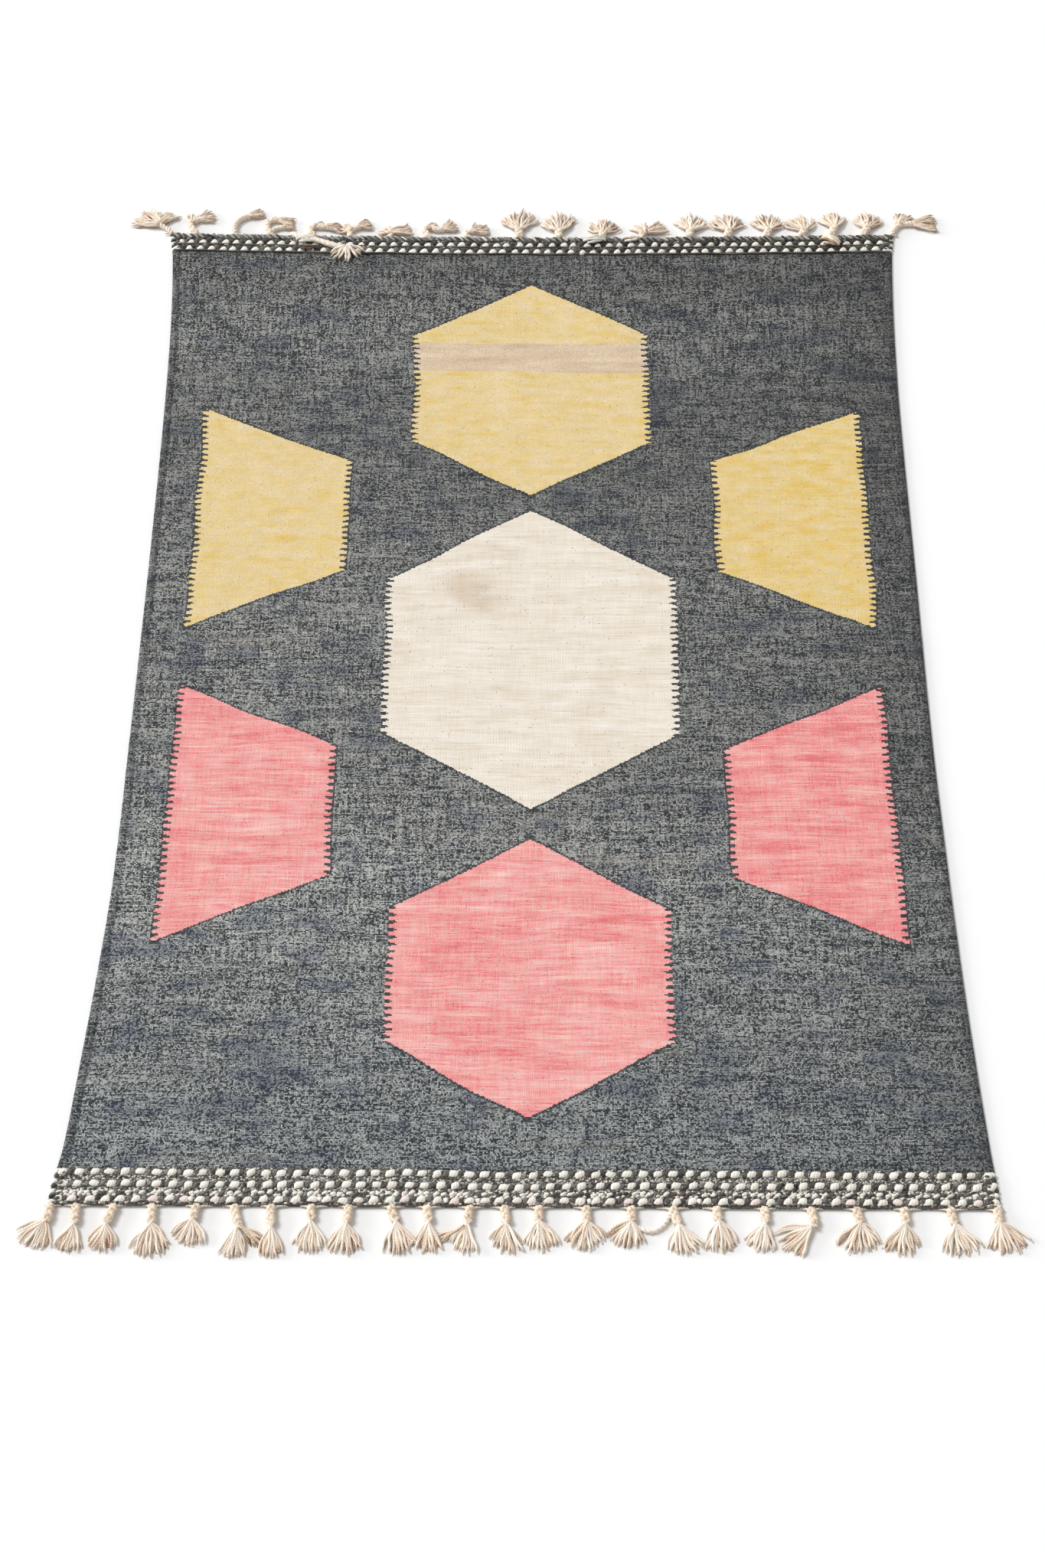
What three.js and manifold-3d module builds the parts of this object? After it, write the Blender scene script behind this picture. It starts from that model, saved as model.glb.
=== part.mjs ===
// Flat-woven rug with a twined band and a row of knotted tassels at each end.
// Millimetres, +Z up. The origin is on the floor under the middle of the cloth,
// +X runs along the width and +Y along the length, to the far end.
import * as THREE from 'three';
import { mergeVertices } from 'three/addons/utils/BufferGeometryUtils.js';
import Module from 'manifold-3d';

const wasm = await Module();
wasm.setup();

// Driving dimensions
const NEAR_EDGE = -916; // outer edge of the near band
const NEAR_SEAM = -863; // where the near band meets the field
const FAR_SEAM = 870; // where the field meets the far band
const FAR_EDGE = 911; // outer edge of the far band at the middle of the width
const FAR_BOW = 9; // how much further the far corners reach than the middle
const BOW_START = 560; // where along the length the bow of the far end begins
const HALF_WIDTH = 590; // nominal half width, at the waist
const FIELD_THICK = 4;
const SELVEDGE_WIDE = 12;
const SELVEDGE_THICK = 5.2;
const BAND_VALLEY = 4.6; // thickness between two twined rows
const BAND_CREST = 6.4; // thickness at the middle of a twined row
const NEAR_ROWS = 4;
const FAR_ROWS = 3;
const GAP = 0.3; // clearance between neighbouring pieces
const ROOT_GAP = 0.4; // clearance between a tassel's root and the edge it grows from
const LOCKS = 6; // yarn locks in the skirt of a tassel

// How finely the sheets are divided
const FIELD_CELLS_ACROSS = 20;
const FIELD_CELLS_ALONG = 30;
const BAND_CELLS_ACROSS = 8;
const CELLS_PER_RIB = 4;

// The cloth's sides, a little waisted: x of each side at stations along the length
const OUTLINE = [
  { y: -916, left: -615, right: 615 },
  { y: -880, left: -611, right: 613 },
  { y: -830, left: -603, right: 609 },
  { y: -700, left: -594, right: 602 },
  { y: -550, left: -585, right: 596 },
  { y: -400, left: -579, right: 592 },
  { y: -150, left: -579, right: 588 },
  { y: 200, left: -581, right: 589 },
  { y: 500, left: -585, right: 590 },
  { y: 700, left: -591, right: 595 },
  { y: 850, left: -601, right: 603 },
  { y: 911, left: -609, right: 609 },
];

// Shallow fold lines left in the cloth: both ends, height and half breadth of the ridge
const CREASES = [
  { x0: -9, y0: 833, x1: 149, y1: 659, high: 1.6, broad: 26 },
  { x0: -37, y0: 570, x1: 82, y1: 453, high: 1.4, broad: 26 },
  { x0: -202, y0: 361, x1: -104, y1: 269, high: 1.5, broad: 24 },
  { x0: -139, y0: 246, x1: -32, y1: 207, high: 1.2, broad: 24 },
  { x0: -453, y0: -187, x1: -307, y1: -269, high: 1.4, broad: 26 },
];

// Tassels. x: place along the edge; neck: length of the knotted neck; lean: its heading;
// fan: heading of the skirt; spread: half angle of the skirt; left, right: lengths of the
// outermost locks. Headings are degrees from straight out of the edge, positive towards +X.
const TASSEL_COLUMNS = ['x', 'neck', 'lean', 'fan', 'spread', 'left', 'right'];
const NEAR_TASSELS = [
  [-610, 29, -5, -32, 36, 42, 38],
  [-576, 30, 0, -9, 25, 38, 36],
  [-528, 32, -20, -10, 30, 33, 34],
  [-478, 30, 1, 2, 32, 46, 43],
  [-422, 24, -12, -12, 37, 35, 39],
  [-372, 33, 16, -2, 22, 44, 38],
  [-325, 31, 4, 4, 21, 40, 40],
  [-273, 22, -2, 2, 25, 42, 41],
  [-225, 28, -6, -4, 30, 39, 39],
  [-170, 26, 22, 12, 27, 38, 38],
  [-124, 24, 11, 1, 23, 36, 35],
  [-69, 27, -7, -14, 27, 31, 42],
  [-24, 27, 9, -3, 31, 26, 38],
  [20, 23, -2, 2, 34, 30, 36],
  [81, 25, 4, 2, 40, 42, 34],
  [139, 23, 4, -19, 38, 35, 33],
  [193, 28, 19, 14, 30, 34, 42],
  [249, 21, 6, 6, 29, 40, 42],
  [311, 23, 2, -13, 29, 37, 37],
  [371, 31, 11, -48, 27, 44, 42],
  [429, 25, 17, 0, 40, 37, 32],
  [490, 23, 3, -13, 29, 41, 35],
  [550, 26, 11, 9, 33, 38, 43],
  [610, 23, -1, 10, 40, 34, 43],
];
const FAR_TASSELS = [
  [-607, 38, -44, -62, 30, 45, 40],
  [-564, 32, -38, 55, 34, 34, 34],
  [-500, 44, -3, 62, 22, 34, 32],
  [-438, 34, -30, 78, 24, 36, 36],
  [-404, 98, 116, 140, 40, 34, 30],
  [-366, 22, -16, 82, 20, 34, 32],
  [-304, 15, 4, 14, 58, 24, 36],
  [-238, 14, -4, 12, 56, 22, 36],
  [-170, 26, -34, 78, 20, 44, 46],
  [-106, 14, 20, 70, 22, 34, 34],
  [-20, 28, 0, -5, 46, 38, 38],
  [46, 24, 2, -6, 48, 32, 42],
  [119, 18, 8, 0, 62, 24, 32],
  [184, 24, 42, 8, 54, 28, 34],
  [266, 26, 8, 2, 52, 30, 32],
  [330, 24, 12, -2, 54, 33, 32],
  [396, 24, 14, 0, 56, 30, 31],
  [456, 24, 20, -6, 54, 32, 28],
  [506, 32, 16, -4, 46, 26, 26],
  [560, 28, 22, 6, 48, 32, 32],
  [606, 40, 24, 86, 22, 52, 52],
];

// Braided neck: nearly as plump from its root on, and drawn in at the collar that holds
// the skirt
const NECK_PROFILE = [
  { t: 0, wide: 9, high: 7 },
  { t: 0.14, wide: 12, high: 9.6 },
  { t: 0.5, wide: 11.6, high: 9.4 },
  { t: 0.78, wide: 12.8, high: 10.2 },
  { t: 1, wide: 9.6, high: 7.4 },
];

// One lock of the skirt, from the collar to its tip
const LOCK_PROFILE = [
  { t: 0, wide: 4.2, high: 5 },
  { t: 0.6, wide: 4.6, high: 4.4 },
  { t: 1, wide: 2.8, high: 2.4 },
];
const LOCK_START_BACK = 4; // how far inside the collar the locks begin
const LOCK_TURN = 7; // how many degrees an outer lock bends outwards by its tip
const SHORT_LOCK = 0.93; // length of every second lock, against its neighbours

// How a neck turns: it has its lean this far from the root, starts to turn towards the
// skirt at a share of its length, and makes most of that turn before the collar
const LEAN_WITHIN = 12;
const TURN_FROM = 0.4;
const TURN_DONE = 0.8;

// How a tassel lies back over the cloth
const CLIMB_WITHIN = 9; // length of neck in which it climbs onto the cloth
const STEP_DOWN = 14; // how far past the band a lock takes to drop to the field
const CREASE_ROOM = 0.5; // room left over the field for its creases

const lerp = THREE.MathUtils.lerp;
const smooth = THREE.MathUtils.smoothstep;
const radians = THREE.MathUtils.degToRad;

// Cubic curve through a table's rows: the value of one column at a station
function along(rows, key, column, at) {
  let i = 0;
  while (i < rows.length - 2 && rows[i + 1][key] < at) {
    i += 1;
  }
  const slope = (a, b) => (rows[b][column] - rows[a][column]) / (rows[b][key] - rows[a][key]);
  const span = rows[i + 1][key] - rows[i][key];
  const s = THREE.MathUtils.clamp((at - rows[i][key]) / span, 0, 1);
  const slopeStart = slope(Math.max(i - 1, 0), i + 1);
  const slopeEnd = slope(i, Math.min(i + 2, rows.length - 1));
  const value = lerp(rows[i][column], rows[i + 1][column], s * s * (3 - 2 * s));
  const bend = slopeStart * s * (1 - s) ** 2 - slopeEnd * s * s * (1 - s);
  return value + bend * span;
}

// Where a woven point lies: u runs from -1 to 1 across the width, y is the nominal length
function onCloth(u, y) {
  const left = along(OUTLINE, 'y', 'left', y);
  const right = along(OUTLINE, 'y', 'right', y);
  const bow = FAR_BOW * u * u * smooth(y, BOW_START, FAR_EDGE);
  return { x: lerp(left, right, (u + 1) / 2), y: y + bow };
}

// Height that the creases add to the top of the cloth at a point
function creaseHeight(x, y) {
  let height = 0;
  for (const crease of CREASES) {
    const line = new THREE.Line3(
      new THREE.Vector3(crease.x0, crease.y0, 0),
      new THREE.Vector3(crease.x1, crease.y1, 0),
    );
    const point = new THREE.Vector3(x, y, 0);
    const away = line.closestPointToPoint(point, true, new THREE.Vector3()).distanceTo(point);
    height += crease.high * Math.exp(-((away / crease.broad) ** 2));
  }
  return height;
}

// A flat-bottomed sheet over a grid of columns (u) and rows (y), with a given top height
function sheet(columns, rows, heightAt) {
  const across = columns.length - 1;
  const lengthwise = rows.length - 1;
  const geometry = new THREE.BoxGeometry(1, 1, 1, across, lengthwise, 1);
  const point = geometry.attributes.position;
  for (let i = 0; i < point.count; i += 1) {
    const u = columns[Math.round((point.getX(i) + 0.5) * across)];
    const y = rows[Math.round((point.getY(i) + 0.5) * lengthwise)];
    const place = onCloth(u, y);
    const top = point.getZ(i) > 0 ? heightAt(u, y) : 0;
    point.setXYZ(i, place.x, place.y, top);
  }
  return geometry;
}

function evenly(from, to, cells) {
  return Array.from({ length: cells + 1 }, (_, i) => lerp(from, to, i / cells));
}

// The field: an even top with its creases, and a thicker cord along each selvedge
function field() {
  const inset = SELVEDGE_WIDE / HALF_WIDTH;
  const inner = 1 - inset;
  const middle = evenly(-inner, inner, FIELD_CELLS_ACROSS);
  const columns = [-1, -1 + inset / 2, ...middle, 1 - inset / 2, 1];
  const rows = evenly(NEAR_SEAM + GAP / 2, FAR_SEAM - GAP / 2, FIELD_CELLS_ALONG);
  return sheet(columns, rows, (u, y) => {
    const crest = Math.abs(Math.abs(u) - 1 + inset / 2) < inset / 4;
    const place = onCloth(u, y);
    return crest ? SELVEDGE_THICK : FIELD_THICK + creaseHeight(place.x, place.y);
  });
}

// A twined band: each row of twining is a rounded rib across the whole width
function band(from, to, ribs) {
  const rows = evenly(from, to, ribs * CELLS_PER_RIB);
  return sheet(evenly(-1, 1, BAND_CELLS_ACROSS), rows, (u, y) => {
    const phase = ((y - from) / (to - from)) * ribs;
    return lerp(BAND_VALLEY, BAND_CREST, Math.abs(Math.sin(Math.PI * phase)));
  });
}

// Rest height of a lock that lies back over the far band: its tip drops to the field
function lockOnCloth(y, s) {
  const drop = smooth(FAR_SEAM - y, 0, STEP_DOWN) * smooth(s, 0.6, 1);
  return lerp(BAND_CREST, FIELD_THICK + CREASE_ROOM, drop) + GAP;
}

// A tapering body along a path, flat side down: a deformed prism with the given sides,
// lying on the height that restAt gives
function bodyAlong(profile, path, sides, restAt) {
  const steps = profile.length - 1;
  const flatDown = sides === 3 ? 0 : Math.PI / sides;
  const prism = new THREE.CylinderGeometry(1, 1, 1, sides, steps, false, flatDown);
  prism.computeBoundingBox();
  const { min, max } = prism.boundingBox;
  const point = prism.attributes.position;
  for (let i = 0; i < point.count; i += 1) {
    const station = profile[Math.round((point.getY(i) + 0.5) * steps)];
    const { x, y, heading } = path(station.t);
    const aside = (point.getX(i) / max.x) * (station.wide / 2);
    const up = ((point.getZ(i) - min.z) / (max.z - min.z)) * station.high;
    const rest = restAt(y, station.t);
    point.setXYZ(i, x + aside * Math.cos(heading), y - aside * Math.sin(heading), rest + up);
  }
  return prism;
}

// A path that starts at a point and follows a heading that changes along it
function walk(start, length, headingAt) {
  const steps = 24;
  return (t) => {
    const place = { x: start.x, y: start.y, heading: headingAt(t) };
    for (let i = 0; i < steps; i += 1) {
      const heading = headingAt((t * (i + 0.5)) / steps);
      place.x += (Math.sin(heading) * length * t) / steps;
      place.y += (Math.cos(heading) * length * t) / steps;
    }
    return place;
  };
}

function withoutSeams(geometry) {
  geometry.deleteAttribute('normal');
  geometry.deleteAttribute('uv');
  return mergeVertices(geometry);
}

function toSolid(geometry) {
  const closed = withoutSeams(geometry);
  return new wasm.Manifold(
    new wasm.Mesh({
      numProp: 3,
      vertProperties: new Float32Array(closed.attributes.position.array),
      triVerts: new Uint32Array(closed.index.array),
    }),
  );
}

function toGeometry(solid) {
  const mesh = solid.getMesh();
  const geometry = new THREE.BufferGeometry();
  geometry.setAttribute('position', new THREE.BufferAttribute(mesh.vertProperties, 3));
  geometry.setIndex(new THREE.BufferAttribute(mesh.triVerts, 1));
  return geometry;
}

// A tassel: its neck leaves the edge straight, leans, then turns towards the skirt,
// whose locks fan out from the collar and rest level on the floor. One that turns
// back over the cloth climbs onto it first.
function tassel(row, outward) {
  const t = Object.fromEntries(TASSEL_COLUMNS.map((name, i) => [name, row[i]]));
  const u = t.x / HALF_WIDTH;
  const edge = outward > 0 ? onCloth(Math.min(Math.abs(u), 1), FAR_EDGE).y : NEAR_EDGE;
  const straightOut = outward > 0 ? 0 : Math.PI;
  const compass = (degrees) => straightOut + outward * radians(degrees);
  const root = { x: t.x, y: edge + outward * ROOT_GAP };
  const neckHeading = (s) => {
    const lean = t.lean * smooth(s * t.neck, 0, LEAN_WITHIN);
    return compass(lean + (t.fan - t.lean) * TURN_DONE * smooth(s, TURN_FROM, 1));
  };
  const neckPath = walk(root, t.neck, neckHeading);
  const over = Math.abs(t.fan) > 90;
  const climbed = (s) => smooth(s * t.neck, 0, CLIMB_WITHIN);
  const neckRest = (y, s) => (over ? (BAND_CREST + GAP) * climbed(s) : 0);
  const lockRest = (y, s) => (over ? lockOnCloth(y, s) : 0);
  let solid = toSolid(bodyAlong(NECK_PROFILE, neckPath, 6, neckRest));
  const collar = neckPath(1 - LOCK_START_BACK / t.neck);
  for (let i = 0; i < LOCKS; i += 1) {
    const side = (2 * i) / (LOCKS - 1) - 1;
    const uneven = i % 2 === 0 ? 1 : SHORT_LOCK;
    const length = lerp(t.left, t.right, (side + 1) / 2) * uneven + LOCK_START_BACK;
    const lockHeading = (s) => compass(t.fan + side * (t.spread + LOCK_TURN * (s - 0.5)));
    const lockPath = walk(collar, length, lockHeading);
    solid = solid.add(toSolid(bodyAlong(LOCK_PROFILE, lockPath, 3, lockRest)));
  }
  return toGeometry(solid);
}

function finish(colour, roughness) {
  return new THREE.MeshStandardMaterial({ color: colour, roughness, metalness: 0 });
}

const FIELD_FINISH = finish(0x6f7170, 0.95);
const BAND_FINISH = finish(0xa39e92, 0.95);
const TASSEL_FINISH = finish(0xe0d3bd, 0.95);

const rug = new THREE.Group();

function addPiece(name, geometry, material) {
  geometry.computeVertexNormals();
  const piece = new THREE.Mesh(geometry, material);
  piece.name = name;
  rug.add(piece);
}

const twoDigits = (index) => String(index + 1).padStart(2, '0');

addPiece('field', withoutSeams(field()), FIELD_FINISH);
addPiece('twined_band_near', withoutSeams(band(NEAR_EDGE, NEAR_SEAM - GAP / 2, NEAR_ROWS)), BAND_FINISH);
addPiece('twined_band_far', withoutSeams(band(FAR_SEAM + GAP / 2, FAR_EDGE, FAR_ROWS)), BAND_FINISH);
NEAR_TASSELS.forEach((row, i) => {
  addPiece(`tassel_near_${twoDigits(i)}`, tassel(row, -1), TASSEL_FINISH);
});
FAR_TASSELS.forEach((row, i) => {
  addPiece(`tassel_far_${twoDigits(i)}`, tassel(row, 1), TASSEL_FINISH);
});

export default rug;
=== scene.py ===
"""A flat-woven rug: a salt-and-pepper field with lozenges, a twined band across each end
and a row of knotted tassels along each band.

Every size in the tables is in millimetres, in the frame's own axes: the origin is on the
floor under the middle of the cloth, +X runs across the width, +Y along the length to the
far end and +Z up. Sizes become metres when a mesh is made.
"""

from __future__ import annotations

import sys
import logging
import math
from dataclasses import dataclass
from enum import Enum
from functools import reduce
from typing import Callable, NamedTuple, Sequence, Union

import bpy
import numpy as np
from mathutils import Matrix, Vector


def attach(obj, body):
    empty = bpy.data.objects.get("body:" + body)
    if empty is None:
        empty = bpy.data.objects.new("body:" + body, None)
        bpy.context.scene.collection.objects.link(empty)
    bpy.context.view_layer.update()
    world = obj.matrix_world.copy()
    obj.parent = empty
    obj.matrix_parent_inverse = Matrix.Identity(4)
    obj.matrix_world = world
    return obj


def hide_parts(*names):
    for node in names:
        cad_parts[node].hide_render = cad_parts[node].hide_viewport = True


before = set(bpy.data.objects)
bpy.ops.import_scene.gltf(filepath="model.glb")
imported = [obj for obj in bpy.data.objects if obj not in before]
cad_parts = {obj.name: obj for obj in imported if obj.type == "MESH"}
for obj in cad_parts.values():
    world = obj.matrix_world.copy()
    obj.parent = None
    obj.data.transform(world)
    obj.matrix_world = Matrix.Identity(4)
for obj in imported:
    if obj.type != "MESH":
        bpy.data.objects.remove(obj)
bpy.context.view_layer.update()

LOG = logging.getLogger("rug")
MM = 0.001
BODY = "root"
UP = np.array([0.0, 0.0, 1.0])
TUBE_END = 0.5  # how far a tube's closing point lies past its last ring, in radii
Colour = tuple[float, float, float]
Pair = tuple[float, float]
Array = np.ndarray
Random = np.random.Generator
Piece = bpy.types.Object
Material = bpy.types.Material
Socket = bpy.types.NodeSocket


class End(Enum):
    """The two ends of the cloth. The value is the way out of the edge, along Y."""

    NEAR = -1
    FAR = 1


class Wool(Enum):
    """The dyed wools of the lozenges."""

    YELLOW = "yellow"
    CREAM = "cream"
    PINK = "pink"


class Strand(Enum):
    """The yarns of the ends. The value is the place of the finish on the piece."""

    BEIGE = 0
    CREAM = 1
    CHARCOAL = 2
    BROWN = 3


class Crease(NamedTuple):
    """A shallow fold line: both ends, height and half breadth of its ridge."""

    x0: float
    y0: float
    x1: float
    y1: float
    high: float
    broad: float


class Lozenge(NamedTuple):
    """A woven lozenge with straight sides. A halved one stands on a line at x on each side."""

    x: float
    y: float
    half_width: float
    straight: float
    point: float
    wool: Wool
    halved: bool


class StitchRow(NamedTuple):
    """A row of stitches: out from the seam, pitch, half sizes, shape and share of cream.

    tone is how light its cream grains are, skew their slant, and lift is how much lighter
    its dark grains are than the band's others.
    """

    out: float
    pitch: float
    wide: float
    deep: float
    high: float
    taper: float
    lean: float
    shift: float
    cream: float
    blush: float
    tone: float = 0.66
    skew: float = 0.0
    lift: float = 0.0


class CordRow(NamedTuple):
    """A twisted cord along a band: out from the seam, ply radius, twist pitch, yarns."""

    out: float
    ply: float
    pitch: float
    yarns: tuple[Strand, ...]


class TasselRow(NamedTuple):
    """One tassel: place, neck length, lean, heading and half angle of the skirt, lengths."""

    x: float
    neck: float
    lean: float
    fan: float
    spread: float
    left: float
    right: float


class Route(NamedTuple):
    """A cord of a tassel: its tassel, width, plies, the points that it follows and its tone."""

    tassel: int
    wide: float
    plies: int
    points: tuple[Pair, ...]
    tone: float = 0.62


class Lobe(NamedTuple):
    """A bundle of loose yarns: its tassel, start, heading, turn, length, half angle, count of
    yarns and tone, and how thick they are against the usual."""

    tassel: int
    x: float
    y: float
    heading: float
    turn: float
    length: float
    spread: float
    yarns: int
    tone: float = 0.6
    thick: float = 1.0


class Lump(NamedTuple):
    """A knot of yarn, or a dark lump that stands for a painted shadow: its tassel, middle, half length,
    half breadth, height, turn and yarn.
    """

    tassel: int
    x: float
    y: float
    wide: float
    deep: float
    high: float
    yaw: float
    strand: Strand


class Lamp(NamedTuple):
    """A broad light: degrees around from +X, degrees above the floor, power and breadth."""

    name: str
    around: float
    above: float
    energy: float
    angle: float


def srgb(red: float, green: float, blue: float) -> Colour:
    """A colour given as eight-bit screen values, in linear light."""
    share = np.array([red, green, blue]) / 255.0
    low = share / 12.92
    high = ((share + 0.055) / 1.055) ** 2.4
    return tuple(float(c) for c in np.where(share <= 0.04045, low, high))


# Place along the length, and the left and the right side of the cloth there
OUTLINE = np.array(
    [
        [-916, -615, 615], [-880, -611, 613], [-830, -603, 609], [-700, -594, 602],
        [-550, -585, 596], [-400, -579, 592], [-150, -579, 588], [200, -581, 589],
        [500, -585, 590], [700, -591, 595], [850, -601, 603], [911, -609, 609],
    ],
    dtype=float,
)

CREASES = (
    Crease(-9, 833, 149, 659, 1.6, 26),
    Crease(-37, 570, 82, 453, 1.4, 26),
    Crease(-202, 361, -104, 269, 1.5, 24),
    Crease(-139, 246, -32, 207, 1.2, 24),
    Crease(-453, -187, -307, -269, 1.4, 26),
)

LOZENGES = (
    Lozenge(0, 560, 185, 120, 115, Wool.YELLOW, False),
    Lozenge(0, 5, 215, 150, 135, Wool.CREAM, False),
    Lozenge(0, -560, 190, 110, 115, Wool.PINK, False),
    Lozenge(520, 283, 230, 115, 110, Wool.YELLOW, True),
    Lozenge(520, -283, 230, 115, 110, Wool.PINK, True),
)

NEAR_STITCHES = tuple(
    StitchRow(*row)
    for row in (
        (5.8, 20.3, 6.4, 5.1, 2.6, 0.0, 0, 0.0, 1.0, 0.08, 0.63, 0.25),
        (5.8, 20.3, 3.2, 4.4, 2.7, 0.0, 10, 0.5, 0.0, 0.0),
        (9.6, 20.3, 2.8, 2.2, 2.3, 0.0, -34, 0.34, 0.0, 0.0),
        (2.0, 20.3, 2.8, 2.2, 2.3, 0.0, 34, 0.66, 0.0, 0.0),
        (0.6, 4.1, 1.8, 1.2, 1.4, 0.0, 20, 0.0, 0.3, 0.0, 0.34),
        (12.7, 3.7, 1.7, 1.3, 1.4, 0.0, 24, 0.2, 0.42, 0.0, 0.3),
        (15.2, 3.9, 1.8, 1.3, 1.4, 0.0, -24, 0.6, 0.42, 0.0, 0.34),
        (17.4, 3.8, 1.7, 1.2, 1.4, 0.0, 20, 0.4, 0.4, 0.0, 0.3),
        (23.0, 20.3, 6.2, 5.2, 2.6, 0.0, 0, 0.2, 1.0, 0.12, 0.63, 0.25),
        (23.0, 20.3, 3.2, 4.2, 2.7, 0.0, -10, 0.7, 0.0, 0.0),
        (26.8, 20.3, 2.8, 2.2, 2.3, 0.0, 34, 0.56, 0.0, 0.0),
        (19.4, 20.3, 2.8, 2.2, 2.3, 0.0, -34, 0.86, 0.0, 0.0),
        (30.4, 4.3, 2.0, 1.4, 1.6, 0.0, 28, 0.0, 0.42, 0.1, 0.36),
        (33.0, 5.0, 2.3, 1.7, 1.9, 0.0, -26, 0.5, 0.5, 0.1, 0.5),
        (35.6, 10.2, 4.4, 2.7, 2.8, 0.0, 20, 0.4, 0.74, 0.3, 0.6),
        (39.0, 6.3, 2.9, 1.9, 2.2, 0.0, 24, 0.7, 0.55, 0.2, 0.56),
        (45.0, 20.3, 6.1, 5.0, 2.6, -0.3, 0, 0.1, 1.0, 0.45, 0.62, 0.3),
        (44.6, 20.3, 3.4, 4.6, 2.8, 0.25, 14, 0.6, 0.1, 0.1),
        (50.2, 6.4, 2.6, 1.5, 1.9, 0.0, 8, 0.3, 0.25, 0.4, 0.4),
    )
)

FAR_STITCHES = tuple(
    StitchRow(*row)
    for row in (
        (6.8, 19.0, 5.8, 5.8, 2.6, 0.5, 0, 0.0, 1.0, 0.06, 0.7, 0.15),
        (9.4, 19.0, 4.3, 6.0, 2.6, -0.5, 6, 0.5, 0.0, 0.0),
        (22.6, 19.0, 5.6, 5.5, 2.6, 0.5, 0, 0.35, 1.0, 0.1, 0.68, 0.15),
        (25.2, 19.0, 4.3, 5.8, 2.6, -0.5, 6, 0.85, 0.0, 0.0),
        (15.9, 5.1, 2.4, 1.4, 1.9, 0.0, 12, 0.0, 0.12, 0.0, 0.3),
        (30.4, 5.3, 2.4, 1.5, 1.9, 0.0, -14, 0.0, 0.2, 0.0, 0.3),
        (35.6, 10.4, 7.8, 2.5, 3.2, 0.0, -42, 0.0, 0.0, 0.0, 0.4, 0.0, 0.06),
        (36.2, 10.4, 7.4, 2.3, 3.4, 0.0, -40, 0.5, 0.2, 0.0, 0.3, 0.0, 0.8),
    )
)

NEAR_GROUND = (srgb(58, 56, 54), srgb(200, 198, 190))
FAR_GROUND = (srgb(30, 27, 23), srgb(150, 144, 132))
DARK = (Strand.CHARCOAL, Strand.CHARCOAL)
NEAR_CORDS = (CordRow(52.7, 0.75, 6.6, (Strand.BROWN, Strand.CHARCOAL)),)
FAR_CORDS = (
    CordRow(0.9, 0.9, 6.0, DARK),
    CordRow(16.9, 0.9, 7.0, DARK),
    CordRow(31.4, 0.9, 7.0, DARK),
)

NEAR_TASSELS = tuple(
    TasselRow(*row)
    for row in (
        (-610, 29, -5, -32, 36, 38, 34), (-576, 30, 0, -9, 25, 38, 36), (-528, 32, -20, -10, 30, 32, 33),
        (-478, 30, 1, 2, 32, 43, 40), (-422, 24, -12, -12, 37, 31, 35), (-372, 33, 16, -2, 22, 44, 38),
        (-325, 31, 4, 4, 21, 40, 40), (-273, 22, -2, 2, 25, 42, 41), (-225, 28, -6, -4, 30, 39, 39),
        (-170, 26, 22, 12, 27, 41, 41), (-124, 24, 11, 1, 25, 40, 39), (-69, 27, -7, -14, 27, 31, 42),
        (-24, 27, 9, -3, 31, 30, 42), (20, 23, -2, 2, 34, 34, 40), (81, 25, 4, 2, 40, 37, 31),
        (139, 23, 4, -19, 38, 35, 33), (193, 28, 19, 14, 30, 34, 42), (249, 21, 6, 6, 29, 40, 42),
        (311, 23, 2, -13, 29, 37, 37), (371, 31, 11, -48, 27, 44, 42), (429, 25, 17, 0, 40, 41, 36),
        (490, 23, 3, -13, 29, 45, 39), (550, 26, 11, 9, 33, 38, 43), (610, 23, -1, 10, 40, 36, 45),
    )
)
FAR_TASSELS = tuple(
    TasselRow(*row)
    for row in (
        (-607, 38, -44, -62, 30, 45, 40), (-564, 32, -38, 55, 34, 34, 34), (-500, 44, -3, 62, 22, 34, 32),
        (-438, 34, -30, 78, 24, 36, 36), (-404, 98, 116, 140, 40, 34, 30), (-366, 22, -16, 82, 20, 34, 32),
        (-304, 15, 4, 14, 58, 24, 36), (-238, 14, -4, 12, 56, 22, 36), (-170, 26, -34, 78, 20, 44, 46),
        (-106, 14, 20, 70, 22, 34, 34), (-20, 28, -6, -3, 46, 36, 40), (46, 24, 2, -6, 48, 32, 42),
        (119, 18, 8, 0, 62, 24, 32), (184, 24, 42, 8, 54, 28, 34), (266, 26, 12, 2, 52, 32, 30),
        (330, 24, 22, -6, 54, 38, 28), (396, 24, 24, -4, 56, 35, 27), (456, 24, 30, -10, 54, 37, 24),
        (506, 32, 22, -6, 46, 29, 24), (560, 28, 32, 4, 46, 30, 28), (606, 40, 24, 86, 22, 52, 52),
    )
)

# Width and height of a straight neck, at shares of its length
NECK = np.array(
    [[0.0, 9.0, 7.0], [0.14, 12.0, 9.6], [0.5, 11.6, 9.4], [0.78, 12.8, 10.2], [1.0, 9.6, 7.4]]
)

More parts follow.
